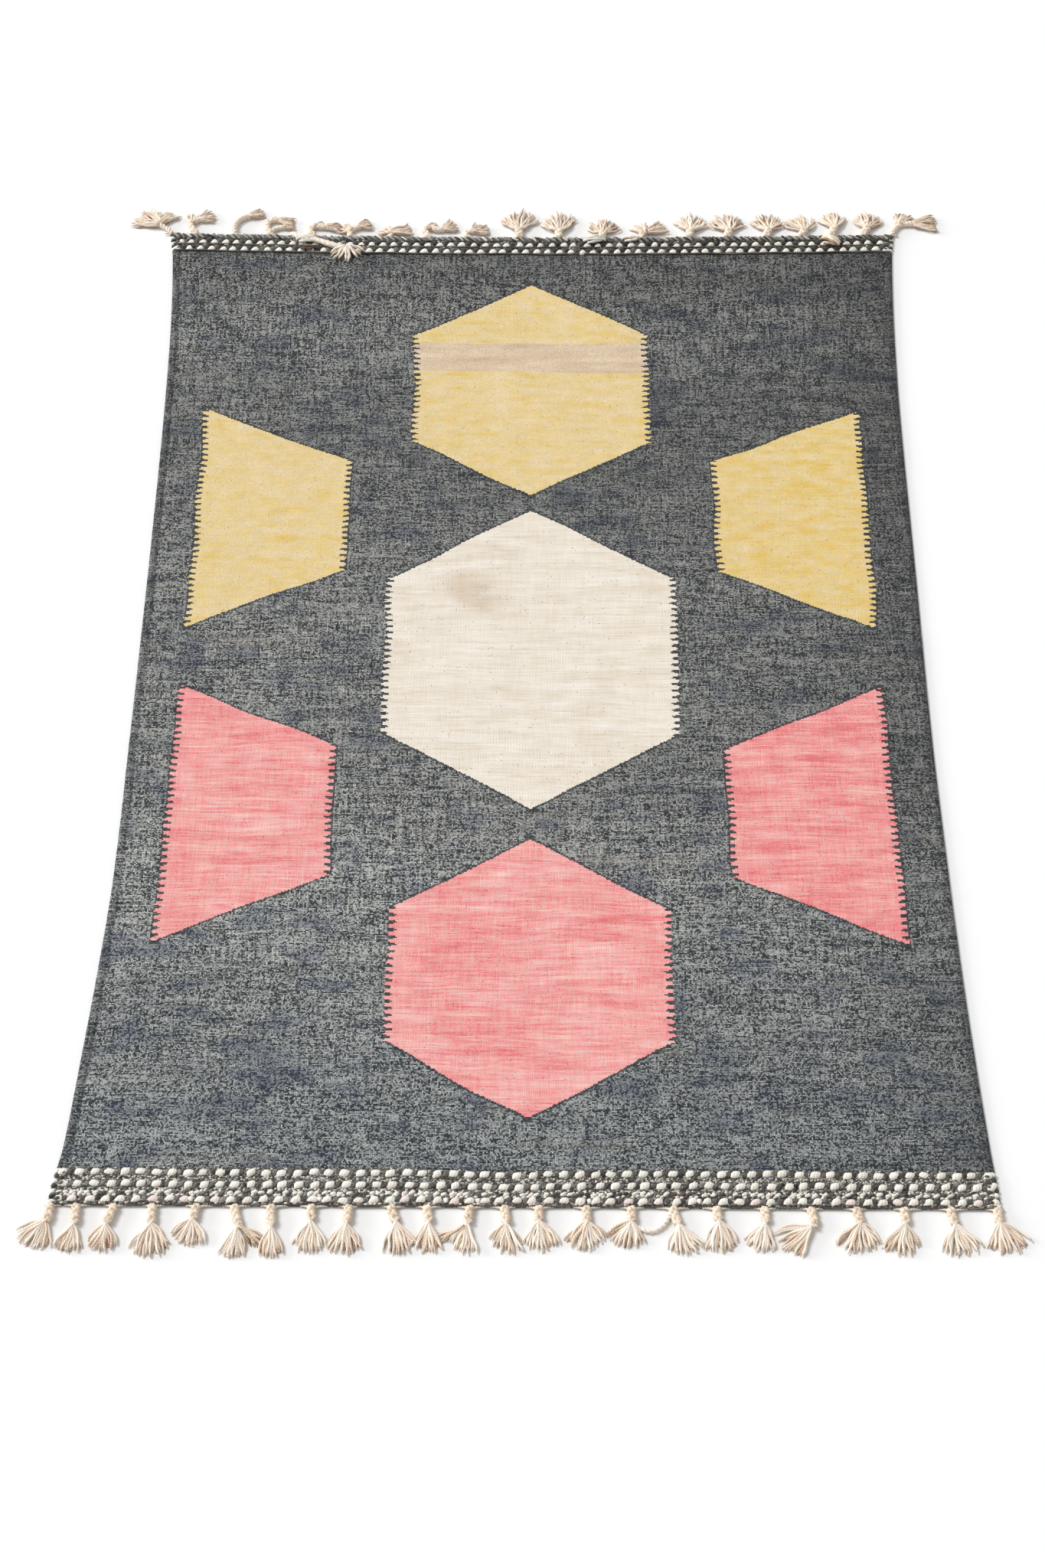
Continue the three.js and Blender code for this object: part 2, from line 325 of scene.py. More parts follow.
# Cords of the fallen tassels, from the edge on, and the bundles that end or fringe them
NEAR_ROUTES = (
    Route(
        16, 7.6, 2,
        ((147, -944), (156, -949), (166, -950), (176, -945), (184, -935), (190, -921)), 0.95,
    ),
)
NEAR_LOBES = (
    Lobe(6, -365, -946, 58, -14, 36, 15, 8, 0.5),
    Lobe(12, -75, -947, -68, 6, 34, 11, 7, 0.45),
)
FAR_ROUTES = (
    Route(1, 9.5, 2, ((-607, 920), (-612, 928), (-621, 936), (-634, 945))),
    Route(2, 11.5, 3, ((-564, 919), (-573, 932), (-577, 944), (-569, 953), (-556, 957))),
    Route(3, 11.0, 2, ((-500, 918), (-502, 938), (-496, 953), (-486, 961), (-472, 966))),
    Route(4, 11.5, 3, ((-438, 916), (-447, 934), (-446, 948), (-435, 955), (-421, 951))),
    Route(4, 9.0, 2, ((-441, 926), (-430, 934), (-414, 938))),
    Route(
        5, 10.5, 3,
        ((-404, 917), (-396, 909), (-384, 902), (-368, 900), (-354, 895), (-334, 886), (-314, 881)),
        0.85,
    ),
    Route(6, 11.5, 3, ((-366, 915), (-373, 926), (-372, 936), (-358, 938), (-340, 936))),
    Route(7, 11.0, 3, ((-304, 914), (-307, 925), (-299, 934), (-286, 940))),
    Route(8, 11.0, 3, ((-238, 912), (-238, 919), (-236, 926))),
    Route(9, 11.5, 3, ((-170, 912), (-178, 923), (-181, 932), (-171, 936), (-159, 931), (-144, 934))),
    Route(10, 10.5, 3, ((-106, 912), (-111, 920), (-107, 927), (-94, 928))),
    Route(14, 11.5, 3, ((184, 912), (186, 920), (193, 929))),
    Route(21, 10.5, 2, ((606, 919), (612, 933), (622, 945), (638, 948), (652, 947))),
)
FAR_LOBES = (
    Lobe(1, -630, 943, -60, 0, 42, 27, 18, 0.72),
    Lobe(1, -630, 943, 8, 50, 32, 26, 14, 0.6),
    Lobe(2, -561, 955, 64, -10, 23, 24, 11),
    Lobe(2, -575, 945, 2, 10, 22, 20, 10),
    Lobe(3, -477, 964, 72, -25, 22, 18, 10),
    Lobe(4, -426, 952, 98, 10, 22, 22, 9),
    Lobe(4, -419, 938, 80, 0, 16, 20, 7),
    Lobe(5, -309, 880, 180, 0, 27, 66, 8, 1.0, 1.35),
    Lobe(6, -345, 936, 86, 5, 21, 20, 9),
    Lobe(6, -367, 936, 50, 40, 18, 24, 7),
    Lobe(7, -291, 939, 66, 0, 20, 24, 10),
    Lobe(7, -304, 927, -62, 10, 19, 24, 9),
    Lobe(8, -238, 922, -48, -10, 17, 26, 11),
    Lobe(8, -234, 924, 74, 0, 30, 18, 12),
    Lobe(9, -149, 933, 62, -10, 22, 28, 12),
    Lobe(9, -176, 932, 40, 40, 20, 24, 7),
    Lobe(10, -99, 928, 84, -10, 25, 18, 10),
    Lobe(10, -98, 928, 20, 20, 19, 22, 7),
    Lobe(14, 190, 924, -30, 0, 23, 28, 11),
    Lobe(14, 196, 926, 60, 0, 31, 22, 11),
    Lobe(21, 646, 947, 82, 0, 36, 24, 16),
    Lobe(21, 622, 946, 16, 30, 28, 28, 12, 0.6),
)
FAR_LUMPS = (
    Lump(5, -379, 903, 17, 8, 6, 0, Strand.CREAM),
    # painted shadow: a low brown lump under tassel 5's cream knot
    Lump(5, -377, 883, 13, 5, 3, 0, Strand.BROWN),
    Lump(13, 106, 903, 19, 8, 5, 6, Strand.CREAM),
    Lump(14, 167, 906, 15, 6, 4, 0, Strand.BEIGE),
    Lump(19, 503, 901, 16, 11, 7, -25, Strand.BEIGE),
    Lump(20, 567, 950, 7, 6, 7, 0, Strand.CREAM),
)


def mix(start: Array | float, stop: Array | float, share: Array | float) -> Array:
    """The value that lies a share of the way from start to stop."""
    return start + (np.asarray(stop) - start) * share


def smooth(at: Array | float, start: float, stop: float) -> Array:
    """An S-shaped step: 3s squared less 2s cubed, where s runs from 0 to 1 over the span."""
    s = np.clip((np.asarray(at, dtype=float) - start) / (stop - start), 0.0, 1.0)
    return s * s * (3 - 2 * s)


def along(stations: Array, values: Array, at: Array) -> Array:
    """Reads a cubic curve through a table's rows.

    Each end of a span has the slope between the rows on either side of it, and the curve
    is the cubic with those end values and end slopes.

    Args:
        stations: increasing places of the rows.
        values: the rows' values.
        at: places to read at.

    Returns:
        The values at those places.
    """
    last = len(stations) - 1
    i = np.clip(np.searchsorted(stations, at) - 1, 0, last - 1)
    before = np.maximum(i - 1, 0)
    after = np.minimum(i + 2, last)
    span = stations[i + 1] - stations[i]
    s = np.clip((at - stations[i]) / span, 0.0, 1.0)
    rise_start = (values[i + 1] - values[before]) / (stations[i + 1] - stations[before])
    rise_stop = (values[after] - values[i]) / (stations[after] - stations[i])
    value = mix(values[i], values[i + 1], s * s * (3 - 2 * s))
    return value + (rise_start * s * (1 - s) ** 2 - rise_stop * s * s * (1 - s)) * span


def ripple(x: Array, y: Array, wavelength: float, seed: int, waves: int = 9) -> Array:
    """Uneven low waves over a surface.

    The sum of plane sine waves in random directions, each about one wavelength long, scaled
    so that it mostly stays between -1 and 1.

    Args:
        x: first coordinate of the points.
        y: second coordinate of the points.
        wavelength: rough length of a wave, in the points' units.
        seed: seed of the directions, lengths and phases.
        waves: how many waves are summed.

    Returns:
        The height at each point.
    """
    rng = np.random.default_rng(seed)
    total = np.zeros(np.broadcast(x, y).shape)
    for angle, stretch, phase in rng.random((waves, 3)):
        turn = 2 * np.pi * angle
        count = (x * np.cos(turn) + y * np.sin(turn)) / (wavelength * mix(0.7, 1.6, stretch))
        total += np.sin(2 * np.pi * (count + phase))
    return total / math.sqrt(waves)


def unit(vectors: Array) -> Array:
    """The vectors at length 1."""
    return vectors / np.linalg.norm(vectors, axis=-1, keepdims=True)


@dataclass
class Surface:
    """One shape as whole arrays.

    Attributes:
        points: places of the vertices, in millimetres.
        quads: corners of the four-sided faces.
        triangles: corners of the three-sided faces.
        quad_map: UV of each corner of the quads, in metres where it is a length.
        triangle_map: UV of each corner of the triangles.
        tone: how light each vertex's yarn is, around 0.5.
        blush: how pink it is, from 0.
        finish: the material index of every face.
    """

    points: Array
    quads: Array
    triangles: Array
    quad_map: Array
    triangle_map: Array
    tone: Array
    blush: Array
    finish: Array

    @staticmethod
    def join(shapes: Sequence["Surface"]) -> "Surface":
        """One surface that holds all the shapes, side by side."""
        starts = np.cumsum([0] + [len(s.points) for s in shapes])
        parts = (
            [s.points for s in shapes],
            [s.quads + at for s, at in zip(shapes, starts)],
            [s.triangles + at for s, at in zip(shapes, starts)],
            [s.quad_map for s in shapes],
            [s.triangle_map for s in shapes],
            [s.tone for s in shapes],
            [s.blush for s in shapes],
            [s.finish[: len(s.quads)] for s in shapes] + [s.finish[len(s.quads) :] for s in shapes],
        )
        return Surface(*(np.concatenate(part) for part in parts))

    def to_piece(self, name: str, finishes: Sequence[Material]) -> Piece:
        """Makes the mesh object, at the origin, with its place in its mesh.

        Args:
            name: name of the object and of its mesh.
            finishes: the materials that the finish indices point to.

        Returns:
            The new object.
        """
        mesh = bpy.data.meshes.new(name)
        faces = self.quads.tolist() + self.triangles.tolist()
        mesh.from_pydata((self.points * MM).tolist(), [], faces)
        corner_map = np.concatenate([self.quad_map.reshape(-1, 2), self.triangle_map.reshape(-1, 2)])
        layer = mesh.uv_layers.new(name="weave")
        layer.uv.foreach_set("vector", corner_map.astype(np.float32).ravel())
        for trait, values in (("tone", self.tone), ("blush", self.blush)):
            stored = mesh.attributes.new(trait, "FLOAT", "POINT")
            stored.data.foreach_set("value", values.astype(np.float32))
        for finish in finishes:
            mesh.materials.append(finish)
        mesh.polygons.foreach_set("material_index", self.finish.astype(np.int32))
        mesh.polygons.foreach_set("use_smooth", np.ones(len(faces), dtype=bool))
        mesh.update()
        return add_object(name, mesh)


def add_object(name: str, data: bpy.types.ID) -> Piece:
    """Puts data into the scene as an object.

    Args:
        name: name of the object.
        data: its mesh, light or camera.

    Returns:
        The new object.
    """
    made = bpy.data.objects.new(name, data)
    bpy.context.collection.objects.link(made)
    return made


def set_inputs(node: bpy.types.Node, values: dict[str, float | tuple[float, ...]]) -> None:
    """Sets plain values on a node's inputs, by their names."""
    for name, value in values.items():
        node.inputs[name].default_value = value


def ring_faces(strands: int, steps: int, sides: int, closed: bool) -> Array:
    """Corners of the four-sided faces between the rings of several tubes.

    Ring point j of step i in strand k has the index (k * steps + i) * sides + j, and a face
    runs from j to j + 1 and from i to i + 1, which turns it outwards.

    Args:
        strands: number of tubes.
        steps: rings of a tube.
        sides: points of a ring.
        closed: whether the last ring meets the first.

    Returns:
        An array of four corners a face.
    """
    spans = steps if closed else steps - 1
    k, i, j = np.indices((strands, spans, sides))
    here = (k * steps + i) * sides
    there = (k * steps + (i + 1) % steps) * sides
    beside = (j + 1) % sides
    return np.stack([here + j, here + beside, there + beside, there + j], -1).reshape(-1, 4)


def tube(
    path: Array,
    radius: Array | float,
    sides: int = 6,
    tone: Array | float = 0.5,
    blush: Array | float = 0.0,
    strand: Strand = Strand.BEIGE,
    up: Array = UP,
    flat: float = 1.0,
    closed: bool = False,
) -> Surface:
    """Carries a round section along several paths at once.

    The section's first axis is up crossed with the path's direction and its second axis is
    the direction crossed with the first. A ring's point is the path plus the radius times
    the cosine and sine of its angle on those axes. A point past the last ring closes an end.

    Args:
        path: points of the paths, (strands, steps, 3).
        radius: radius at each step, of any shape that fits (strands, steps).
        sides: points of a ring.
        tone: lightness of the yarn at each step.
        blush: pinkness of the yarn at each step.
        strand: yarn of all the tubes.
        up: a direction that the paths never follow.
        flat: height of the section against its width.
        closed: whether each path returns to its start.

    Returns:
        The closed tubes.
    """
    strands, steps, _ = path.shape
    if closed:
        heading = unit(np.roll(path, -1, 1) - np.roll(path, 1, 1))
    else:
        heading = unit(np.gradient(path, axis=1))
    aside = unit(np.cross(np.broadcast_to(up, heading.shape), heading))
    over = np.cross(heading, aside) * flat
    reach = np.broadcast_to(radius, (strands, steps))[..., None, None]
    angle = 2 * np.pi * np.arange(sides) / sides
    spoke = aside[:, :, None] * np.cos(angle)[:, None] + over[:, :, None] * np.sin(angle)[:, None]
    rings = path[:, :, None] + reach * spoke
    quads = ring_faces(strands, steps, sides, closed)
    length = np.cumsum(np.linalg.norm(np.diff(path, axis=1), axis=-1), 1) * MM
    length = np.concatenate([np.zeros((strands, 1)), length], 1)
    spans = steps if closed else steps - 1
    k, i, j = np.indices((strands, spans, sides))
    start = length[k, i]
    stop = length[k, np.minimum(i + 1, steps - 1)]
    corner = [(j, start), (j + 1, start), (j + 1, stop), (j, stop)]
    quad_map = np.stack([np.stack([c / sides, v], -1) for c, v in corner], -2).reshape(-1, 4, 2)
    points = rings.reshape(-1, 3)
    tone, blush = (np.broadcast_to(value, (strands, steps)) for value in (tone, blush))
    tones, blushes = np.repeat(tone, sides), np.repeat(blush, sides)
    caps, cap_maps = [np.zeros((0, 3), dtype=int)], [np.zeros((0, 3, 2))]
    j = np.arange(sides)
    for end, turn in () if closed else ((0, -1), (steps - 1, 1)):
        poles = path[:, end] + heading[:, end] * reach[:, end, 0] * TUBE_END * turn
        pole = np.broadcast_to(len(points) + np.arange(strands)[:, None], (strands, sides))
        points = np.concatenate([points, poles])
        tones = np.concatenate([tones, tone[:, end]])
        blushes = np.concatenate([blushes, blush[:, end]])
        ring = (np.arange(strands)[:, None] * steps + end) * sides
        here, beside = ring + j, ring + (j + 1) % sides
        order = [pole, here, beside] if turn > 0 else [pole, beside, here]
        caps.append(np.stack(order, -1).reshape(-1, 3))
        at = np.broadcast_to(length[:, end][:, None], (strands, sides))
        around = np.broadcast_to(j / sides, (strands, sides))
        cap_maps.append(np.stack([np.stack([around, at], -1)] * 3, -2).reshape(-1, 3, 2))
    triangles, triangle_map = np.concatenate(caps), np.concatenate(cap_maps)
    finish = np.full(len(quads) + len(triangles), strand.value)
    return Surface(points, quads, triangles, quad_map, triangle_map, tones, blushes, finish)


def beads(
    centres: Array,
    halves: Array,
    yaw: Array,
    taper: Array | float,
    tone: Array,
    blush: Array,
    strand: Strand,
    rings: int = 6,
    sides: int = 8,
    plump: float = 0.8,
    skew: float = 0.0,
) -> Surface:
    """Makes plump grains, one for each stitch.

    A unit grain's rings have the radius sin t at x = -cos t, both raised to a power below 1,
    which makes it plumper than a ball. It is scaled, made narrower towards +y by the taper,
    slanted along x by its y times the skew, turned about z and set in place.

    Args:
        centres: middles of the grains, (count, 3).
        halves: half sizes along x, y and z, (count, 3).
        yaw: turns about z, in radians.
        taper: how much narrower a grain is at its +y side.
        tone: lightness of each grain.
        blush: pinkness of each grain.
        strand: yarn of all the grains.
        rings: spans between the two poles.
        sides: points of a ring.
        plump: the power; 1 is a ball, lower is fuller.
        skew: slant of the grain, as x for each y.

    Returns:
        The closed grains.
    """
    count = len(centres)
    t = np.pi * np.arange(1, rings) / rings
    angle = 2 * np.pi * np.arange(sides) / sides

    def fuller(value: Array) -> Array:
        """The value with its size raised to the power."""
        return np.sign(value) * np.abs(value) ** plump

    x = np.repeat(-fuller(np.cos(t))[:, None], sides, 1)
    y = fuller(np.sin(t))[:, None] * fuller(np.cos(angle))
    z = fuller(np.sin(t))[:, None] * fuller(np.sin(angle))
    grain = np.stack([x, y, z], -1).reshape(-1, 3)
    grain = np.concatenate([grain, [[-1.0, 0, 0], [1.0, 0, 0]]])
    local = grain[None] * halves[:, None]
    local[..., 0] *= 1 - np.broadcast_to(taper, count)[:, None] * grain[None, :, 1]
    local[..., 0] += skew * local[..., 1]
    cos, sin = np.cos(yaw)[:, None], np.sin(yaw)[:, None]
    across, ahead = local[..., 0], local[..., 1]
    placed = np.stack([across * cos - ahead * sin, across * sin + ahead * cos, local[..., 2]], -1)
    points = (placed + centres[:, None]).reshape(-1, 3)
    size = len(grain)
    shift = np.arange(count)[:, None, None] * size
    quads = (ring_faces(1, rings - 1, sides, False)[None] + shift).reshape(-1, 4)
    j = np.arange(sides)
    beside = (j + 1) % sides
    last = (rings - 2) * sides
    low = np.stack([np.full(sides, size - 2), beside, j], -1)
    high = np.stack([np.full(sides, size - 1), last + j, last + beside], -1)
    triangles = (np.concatenate([low, high])[None] + shift).reshape(-1, 3)
    reach = (local[..., 0] * MM).reshape(-1)
    around = np.tile(np.concatenate([np.tile(np.arange(sides) / sides, rings - 1), [0.0, 0.0]]), count)
    flat_map = np.stack([around, reach], -1)
    tones, blushes = np.repeat(tone, size), np.repeat(blush, size)
    finish = np.full(len(quads) + len(triangles), strand.value)
    return Surface(
        points, quads, triangles, flat_map[quads], flat_map[triangles], tones, blushes, finish
    )


def slab(top: Array, bottom: Array, top_map: Array, bottom_map: Array) -> Surface:
    """Closes a top grid and a coarser bottom grid with the same rows into one solid.

    Each row is a ring: the top from left to right, then the bottom back. The rings are
    joined row by row, and strips of triangles fill the first and the last.

    Args:
        top: points of the top, (rows, columns, 3), x rising with the column.
        bottom: points of the bottom, (rows, fewer columns, 3).
        top_map: UV of the top's points, (rows, columns, 2).
        bottom_map: UV of the bottom's points.

    Returns:
        The closed solid.
    """
    rows, across, _ = top.shape
    under = bottom.shape[1]
    ring = across + under
    points = np.concatenate([top, bottom[:, ::-1]], 1).reshape(-1, 3)
    flat_map = np.concatenate([top_map, bottom_map[:, ::-1]], 1).reshape(-1, 2)
    quads = ring_faces(1, rows, ring, False)
    middles = (bottom[0, 1:, 0] + bottom[0, :-1, 0]) / 2
    span = np.arange(across - 1)
    below = np.searchsorted(middles, (top[0, 1:, 0] + top[0, :-1, 0]) / 2)
    step = np.arange(under - 1)
    above = np.searchsorted(below, step, side="right")
    foot = ring - 1
    upper = np.stack([span + 1, span, foot - below], -1)
    lower = np.stack([foot - step, foot - step - 1, above], -1)
    cap = np.concatenate([upper, lower])
    triangles = np.concatenate([cap, cap[:, ::-1] + (rows - 1) * ring])
    plain = np.full(len(points), 0.5)
    finish = np.zeros(len(quads) + len(triangles), dtype=int)
    return Surface(points, quads, triangles, flat_map[quads], flat_map[triangles], plain, plain * 0, finish)


@dataclass(frozen=True)
class ClothShape:
    """The outline and the lie of the whole woven piece, from its driving dimensions."""

    near_edge: float = -916.0
    near_seam: float = -863.0
    far_seam: float = 870.0
    far_edge: float = 911.0
    far_bow: float = 9.0
    bow_start: float = 560.0
    half_width: float = 590.0
    sag: float = 2.8
    sag_at: float = -15.0
    sag_half: float = 75.0

    def place(self, u: Array, y: Array) -> tuple[Array, Array]:
        """Where a woven point lies.

        The sides are cubic curves through the outline's rows, x is the share of the way
        between them, and the far end bows out by the square of the distance from the middle.
        The near seam sags towards the near edge by a bell about one place.

        Args:
            u: place across the width, from -1 to 1.
            y: nominal place along the length.

        Returns:
            The x and y of the point.
        """
        left = along(OUTLINE[:, 0], OUTLINE[:, 1], y)
        right = along(OUTLINE[:, 0], OUTLINE[:, 2], y)
        bow = self.far_bow * u * u * smooth(y, self.bow_start, self.far_edge)
        x = mix(left, right, (u + 1) / 2)
        sag = self.sag * np.exp(-(((x - self.sag_at) / self.sag_half) ** 2))
        sag = sag * smooth(y, self.near_edge, self.near_edge + 34) * smooth(y, -770, -850)
        return x, y + bow - sag

    def crease_height(self, x: Array, y: Array) -> Array:
        """Height of the fold lines: for each, a bell of the distance to its segment."""
        height = np.zeros(np.broadcast(x, y).shape)
        for crease in CREASES:
            run = np.array([crease.x1 - crease.x0, crease.y1 - crease.y0])
            share = ((x - crease.x0) * run[0] + (y - crease.y0) * run[1]) / (run @ run)
            share = np.clip(share, 0, 1)
            away = np.hypot(x - crease.x0 - run[0] * share, y - crease.y0 - run[1] * share)
            height += crease.high * np.exp(-((away / crease.broad) ** 2))
        return height

    def edge(self, end: End, x: float) -> float:
        """Y of the outer edge of a band where a tassel grows from it."""
        if end is End.NEAR:
            return self.near_edge
        u = min(abs(x) / self.half_width, 1.0)
        return float(self.place(np.array(u), np.array(self.far_edge))[1])


Number = Union[float, "Signal"]


class Ramp(NamedTuple):
    """A soft step of a signal: where it starts and stops, and what it comes to."""

    start: float
    stop: float
    share: float


class Mottle(NamedTuple):
    """A smooth noise: breadth and length of its patches in millimetres, seed and detail."""

    wide: float
    long: float
    seed: float
    detail: float = 0.0


class Streak(NamedTuple):
    """A noise that changes slowly along each yarn: its length in millimetres, the step from
    one yarn to the next, the first yarn's place and the seed."""

    long: float
    stride: float
    start: float
    seed: float

    def at(self, number: Signal) -> Signal:
        """Place of a yarn in the noise, by its number."""
        return number * self.stride + self.start


def math_method(operation: str) -> Callable[..., Signal]:
    """A method of a signal that lays one Math node.

    Args:
        operation: Blender's name for what the node does.

    Returns:
        The method. Its signal is the node's first input, and it takes the others.
    """

    def method(self: Signal, *others: Number) -> Signal:
        """The result of the node."""
        return self.math(operation, *others)

    return method


@dataclass(frozen=True)
class Signal:
    """One number of a material. Plain arithmetic on it lays Math nodes."""

    graph: "Graph"
    socket: Socket

    def math(self, operation: str, *others: Number) -> "Signal":
        """The result of a Math node with this signal as its first input."""
        return self.graph.math(operation, self, *others)

    __add__ = __radd__ = math_method("ADD")
    __sub__ = math_method("SUBTRACT")
    __mul__ = __rmul__ = math_method("MULTIPLY")
    __truediv__ = math_method("DIVIDE")
    __abs__ = math_method("ABSOLUTE")
    floor = math_method("FLOOR")
    fraction = math_method("FRACT")
    above = math_method("GREATER_THAN")
    lowest = math_method("MINIMUM")
    highest = math_method("MAXIMUM")

    def __rsub__(self, other: float) -> "Signal":
        """A number less this signal."""
        return self.graph.math("SUBTRACT", other, self)

    def sine(self) -> "Signal":
        """The sine, of a count of whole turns."""
        return (self * (2 * math.pi)).math("SINE")

    def held(self) -> "Signal":
        """The signal held between 0 and 1."""
        return self.highest(0.0).lowest(1.0)

    def step(self, start: float, stop: float) -> "Signal":
        """A soft step from 0 at start to 1 at stop."""
        node = self.graph.node("MapRange", interpolation_type="SMOOTHSTEP")
        self.graph.feed(node.inputs["Value"], self)
        set_inputs(node, {"From Min": start, "From Max": stop})
        return Signal(self.graph, node.outputs["Result"])

    def ramp(self, ramp: Ramp) -> "Signal":
        """A soft step over the ramp's span, to the ramp's share."""
        return self.step(ramp.start, ramp.stop) * ramp.share

    def line(self, ends: Pair) -> "Signal":
        """The pair's first number, plus the signal times its second."""
        return self * ends[1] + ends[0]

    def swing(self, weight: Number) -> "Signal":
        """How far the signal is above 0.5, times a weight."""
        return (self - 0.5) * weight

    def dot(self, fall: float = 1.0) -> "Signal":
        """Height of a dot of yarn at a share of its cell, from 0 to 1.

        1 in the middle, less the square of the distance from there, which is fall at the
        edge.
        """
        lie = abs(self - 0.5) * 2.0
        return 1.0 - lie * lie * fall


class Graph:
    """A material whose nodes are laid by arithmetic on signals."""

    def __init__(self, name: str, roughness: float, sheen: float) -> None:
        """Starts a material with one plain wool shader.

        Args:
            name: name of the material.
            roughness: roughness of the yarn.
            sheen: weight of the soft sheen of loose fibres.
        """
        self.material = bpy.data.materials.new(name)
        self.material.use_nodes = True
        self.tree = self.material.node_tree
        self.tree.nodes.clear()
        self.shader = self.node("BsdfPrincipled")
        gloss = {"Roughness": roughness, "Specular IOR Level": 0.25}
        set_inputs(self.shader, gloss | {"Sheen Weight": sheen, "Sheen Roughness": 0.6})
        output = self.node("OutputMaterial")
        self.tree.links.new(self.shader.outputs[0], output.inputs["Surface"])

    def node(self, kind: str, **settings: str) -> bpy.types.Node:
        """A new node of that kind, with those settings."""
        node = self.tree.nodes.new(f"ShaderNode{kind}")
        for name, value in settings.items():
            setattr(node, name, value)
        return node

    def feed(self, socket: Socket, value: Number | Colour | Socket) -> None:
        """Links a signal or a socket to an input, or sets a plain value on it."""
        if isinstance(value, Signal):
            self.tree.links.new(value.socket, socket)
        elif isinstance(value, Socket):
            self.tree.links.new(value, socket)
        elif isinstance(value, tuple):
            socket.default_value = (*value, 1.0)
        else:
            socket.default_value = value

    def math(self, operation: str, *values: Number) -> Signal:
        """The result of one Math node."""
        node = self.node("Math", operation=operation)
        for socket, value in zip(node.inputs, values):
            self.feed(socket, value)
        return Signal(self, node.outputs[0])

    def split(self, socket: Socket) -> tuple[Signal, Signal, Signal]:
        """The three parts of a vector or colour."""
        node = self.node("SeparateXYZ")
        self.tree.links.new(socket, node.inputs[0])
        return tuple(Signal(self, out) for out in node.outputs)

    def join(self, x: Number, y: Number, z: Number = 0.0) -> Socket:
        """A vector of three numbers."""
        node = self.node("CombineXYZ")
        for socket, value in zip(node.inputs, (x, y, z)):
            self.feed(socket, value)
        return node.outputs[0]

    def weave_map(self) -> tuple[Signal, Signal]:
        """The two coordinates of the piece's own map."""
        return self.split(self.node("UVMap", uv_map="weave").outputs[0])[:2]

    def place(self) -> tuple[Signal, Signal, Signal]:
        """The object's own coordinates, in millimetres."""
        node = self.node("TexCoord")
        return tuple(part / MM for part in self.split(node.outputs["Object"]))

    def trait(self, name: str) -> Signal:
        """A value stored on the vertices."""
        return Signal(self, self.node("Attribute", attribute_name=name).outputs["Fac"])

    def clouds(self, x: Number, y: Number, z: Number = 0.0, detail: float = 0.0) -> tuple[Signal, Signal]:
        """Two independent smooth noises of about one cell a unit, each from 0 to 1."""
        node = self.node("TexNoise", noise_dimensions="3D")
        self.feed(node.inputs["Vector"], self.join(x, y, z))
        set_inputs(node, {"Scale": 1.0, "Detail": detail})
        return self.split(node.outputs["Color"])[:2]

    def mottle(self, noise: Mottle, x: Signal, y: Signal) -> tuple[Signal, Signal]:
        """Two independent smooth noises with patches of their own size, each from 0 to 1."""
        return self.clouds(x / noise.wide, y / noise.long, noise.seed, noise.detail)

    def dice(self, x: Number, y: Number, z: Number = 0.0) -> tuple[Signal, Signal, Signal]:
        """Three random numbers from 0 to 1 for each whole place."""
        node = self.node("TexWhiteNoise", noise_dimensions="3D")
        self.feed(node.inputs["Vector"], self.join(x, y, z))
        return self.split(node.outputs["Color"])

    def blend(
        self, share: Number, start: Colour | Socket, stop: Colour | Socket, way: str = "MIX"
    ) -> Socket:
        """A colour that lies a share of the way between two.

        Args:
            share: how far from start to stop it lies.
            start: the colour at 0.
            stop: the colour at 1.
            way: how the two are mixed.

        Returns:
            The colour.
        """
        node = self.node("Mix", data_type="RGBA", blend_type=way)
        self.feed(node.inputs[0], share)
        self.feed(node.inputs[6], start)
        self.feed(node.inputs[7], stop)
        return node.outputs[2]

    def shades(self, depth: Signal, low: Colour, middle: Colour, high: Colour) -> Socket:
        """A colour that goes from low through middle to high as the depth goes from 0 to 1."""
        deep = self.blend((depth * 2.0).held(), low, middle)
        return self.blend((depth * 2.0 - 1.0).held(), deep, high)

    def finish(self, colour: Socket, height: Signal, deep: float, strength: float) -> Material:
        """Puts a colour and a relief on the shader.

        Args:
            colour: colour of the surface.
            height: relief, from 0 to about 1.
            deep: depth of the relief, in millimetres.
            strength: how strongly it bends the normal.

        Returns:
            The finished material.
        """
        self.tree.links.new(colour, self.shader.inputs["Base Color"])
        bump = self.node("Bump")
        set_inputs(bump, {"Strength": strength, "Distance": deep * MM})
        self.feed(bump.inputs["Height"], height)
        self.tree.links.new(bump.outputs[0], self.shader.inputs["Normal"])
        return self.material


class DyedWool(NamedTuple):
    """Three depths of one dyed wool: where it is rich, usual and pale, and how grainy it is."""

    rich: Colour
    usual: Colour
    pale: Colour
    coarse: float


DYES = {
    Wool.YELLOW: DyedWool(srgb(229, 193, 98), srgb(232, 208, 150), srgb(236, 215, 180), 0.3),
    Wool.CREAM: DyedWool(srgb(222, 208, 186), srgb(240, 231, 216), srgb(252, 247, 238), 0.26),
    Wool.PINK: DyedWool(srgb(230, 112, 116), srgb(246, 168, 165), srgb(254, 214, 204), 0.46),
}


class Uneven(NamedTuple):
    """How much one unevenness of the weave shows: in the ground, added to that at the far
    end, and in dyed wool."""

    ground: float
    far: float
    dyed: float


UNEVEN = {
    "row": Uneven(0.8, 0.3, 0.65),
    "long_row": Uneven(0.4, 0.0, 0.55),
    "column": Uneven(0.7, 1.1, 0.35),
    "bar": Uneven(0.45, 0.3, 0.65),
    "patch": Uneven(0.25, 0.0, 0.0),
    "wisp": Uneven(0.15, 0.5, 0.0),
    "broad": Uneven(0.0, 0.0, 0.5),
    "grain": Uneven(0.0, 0.0, 0.5),
}


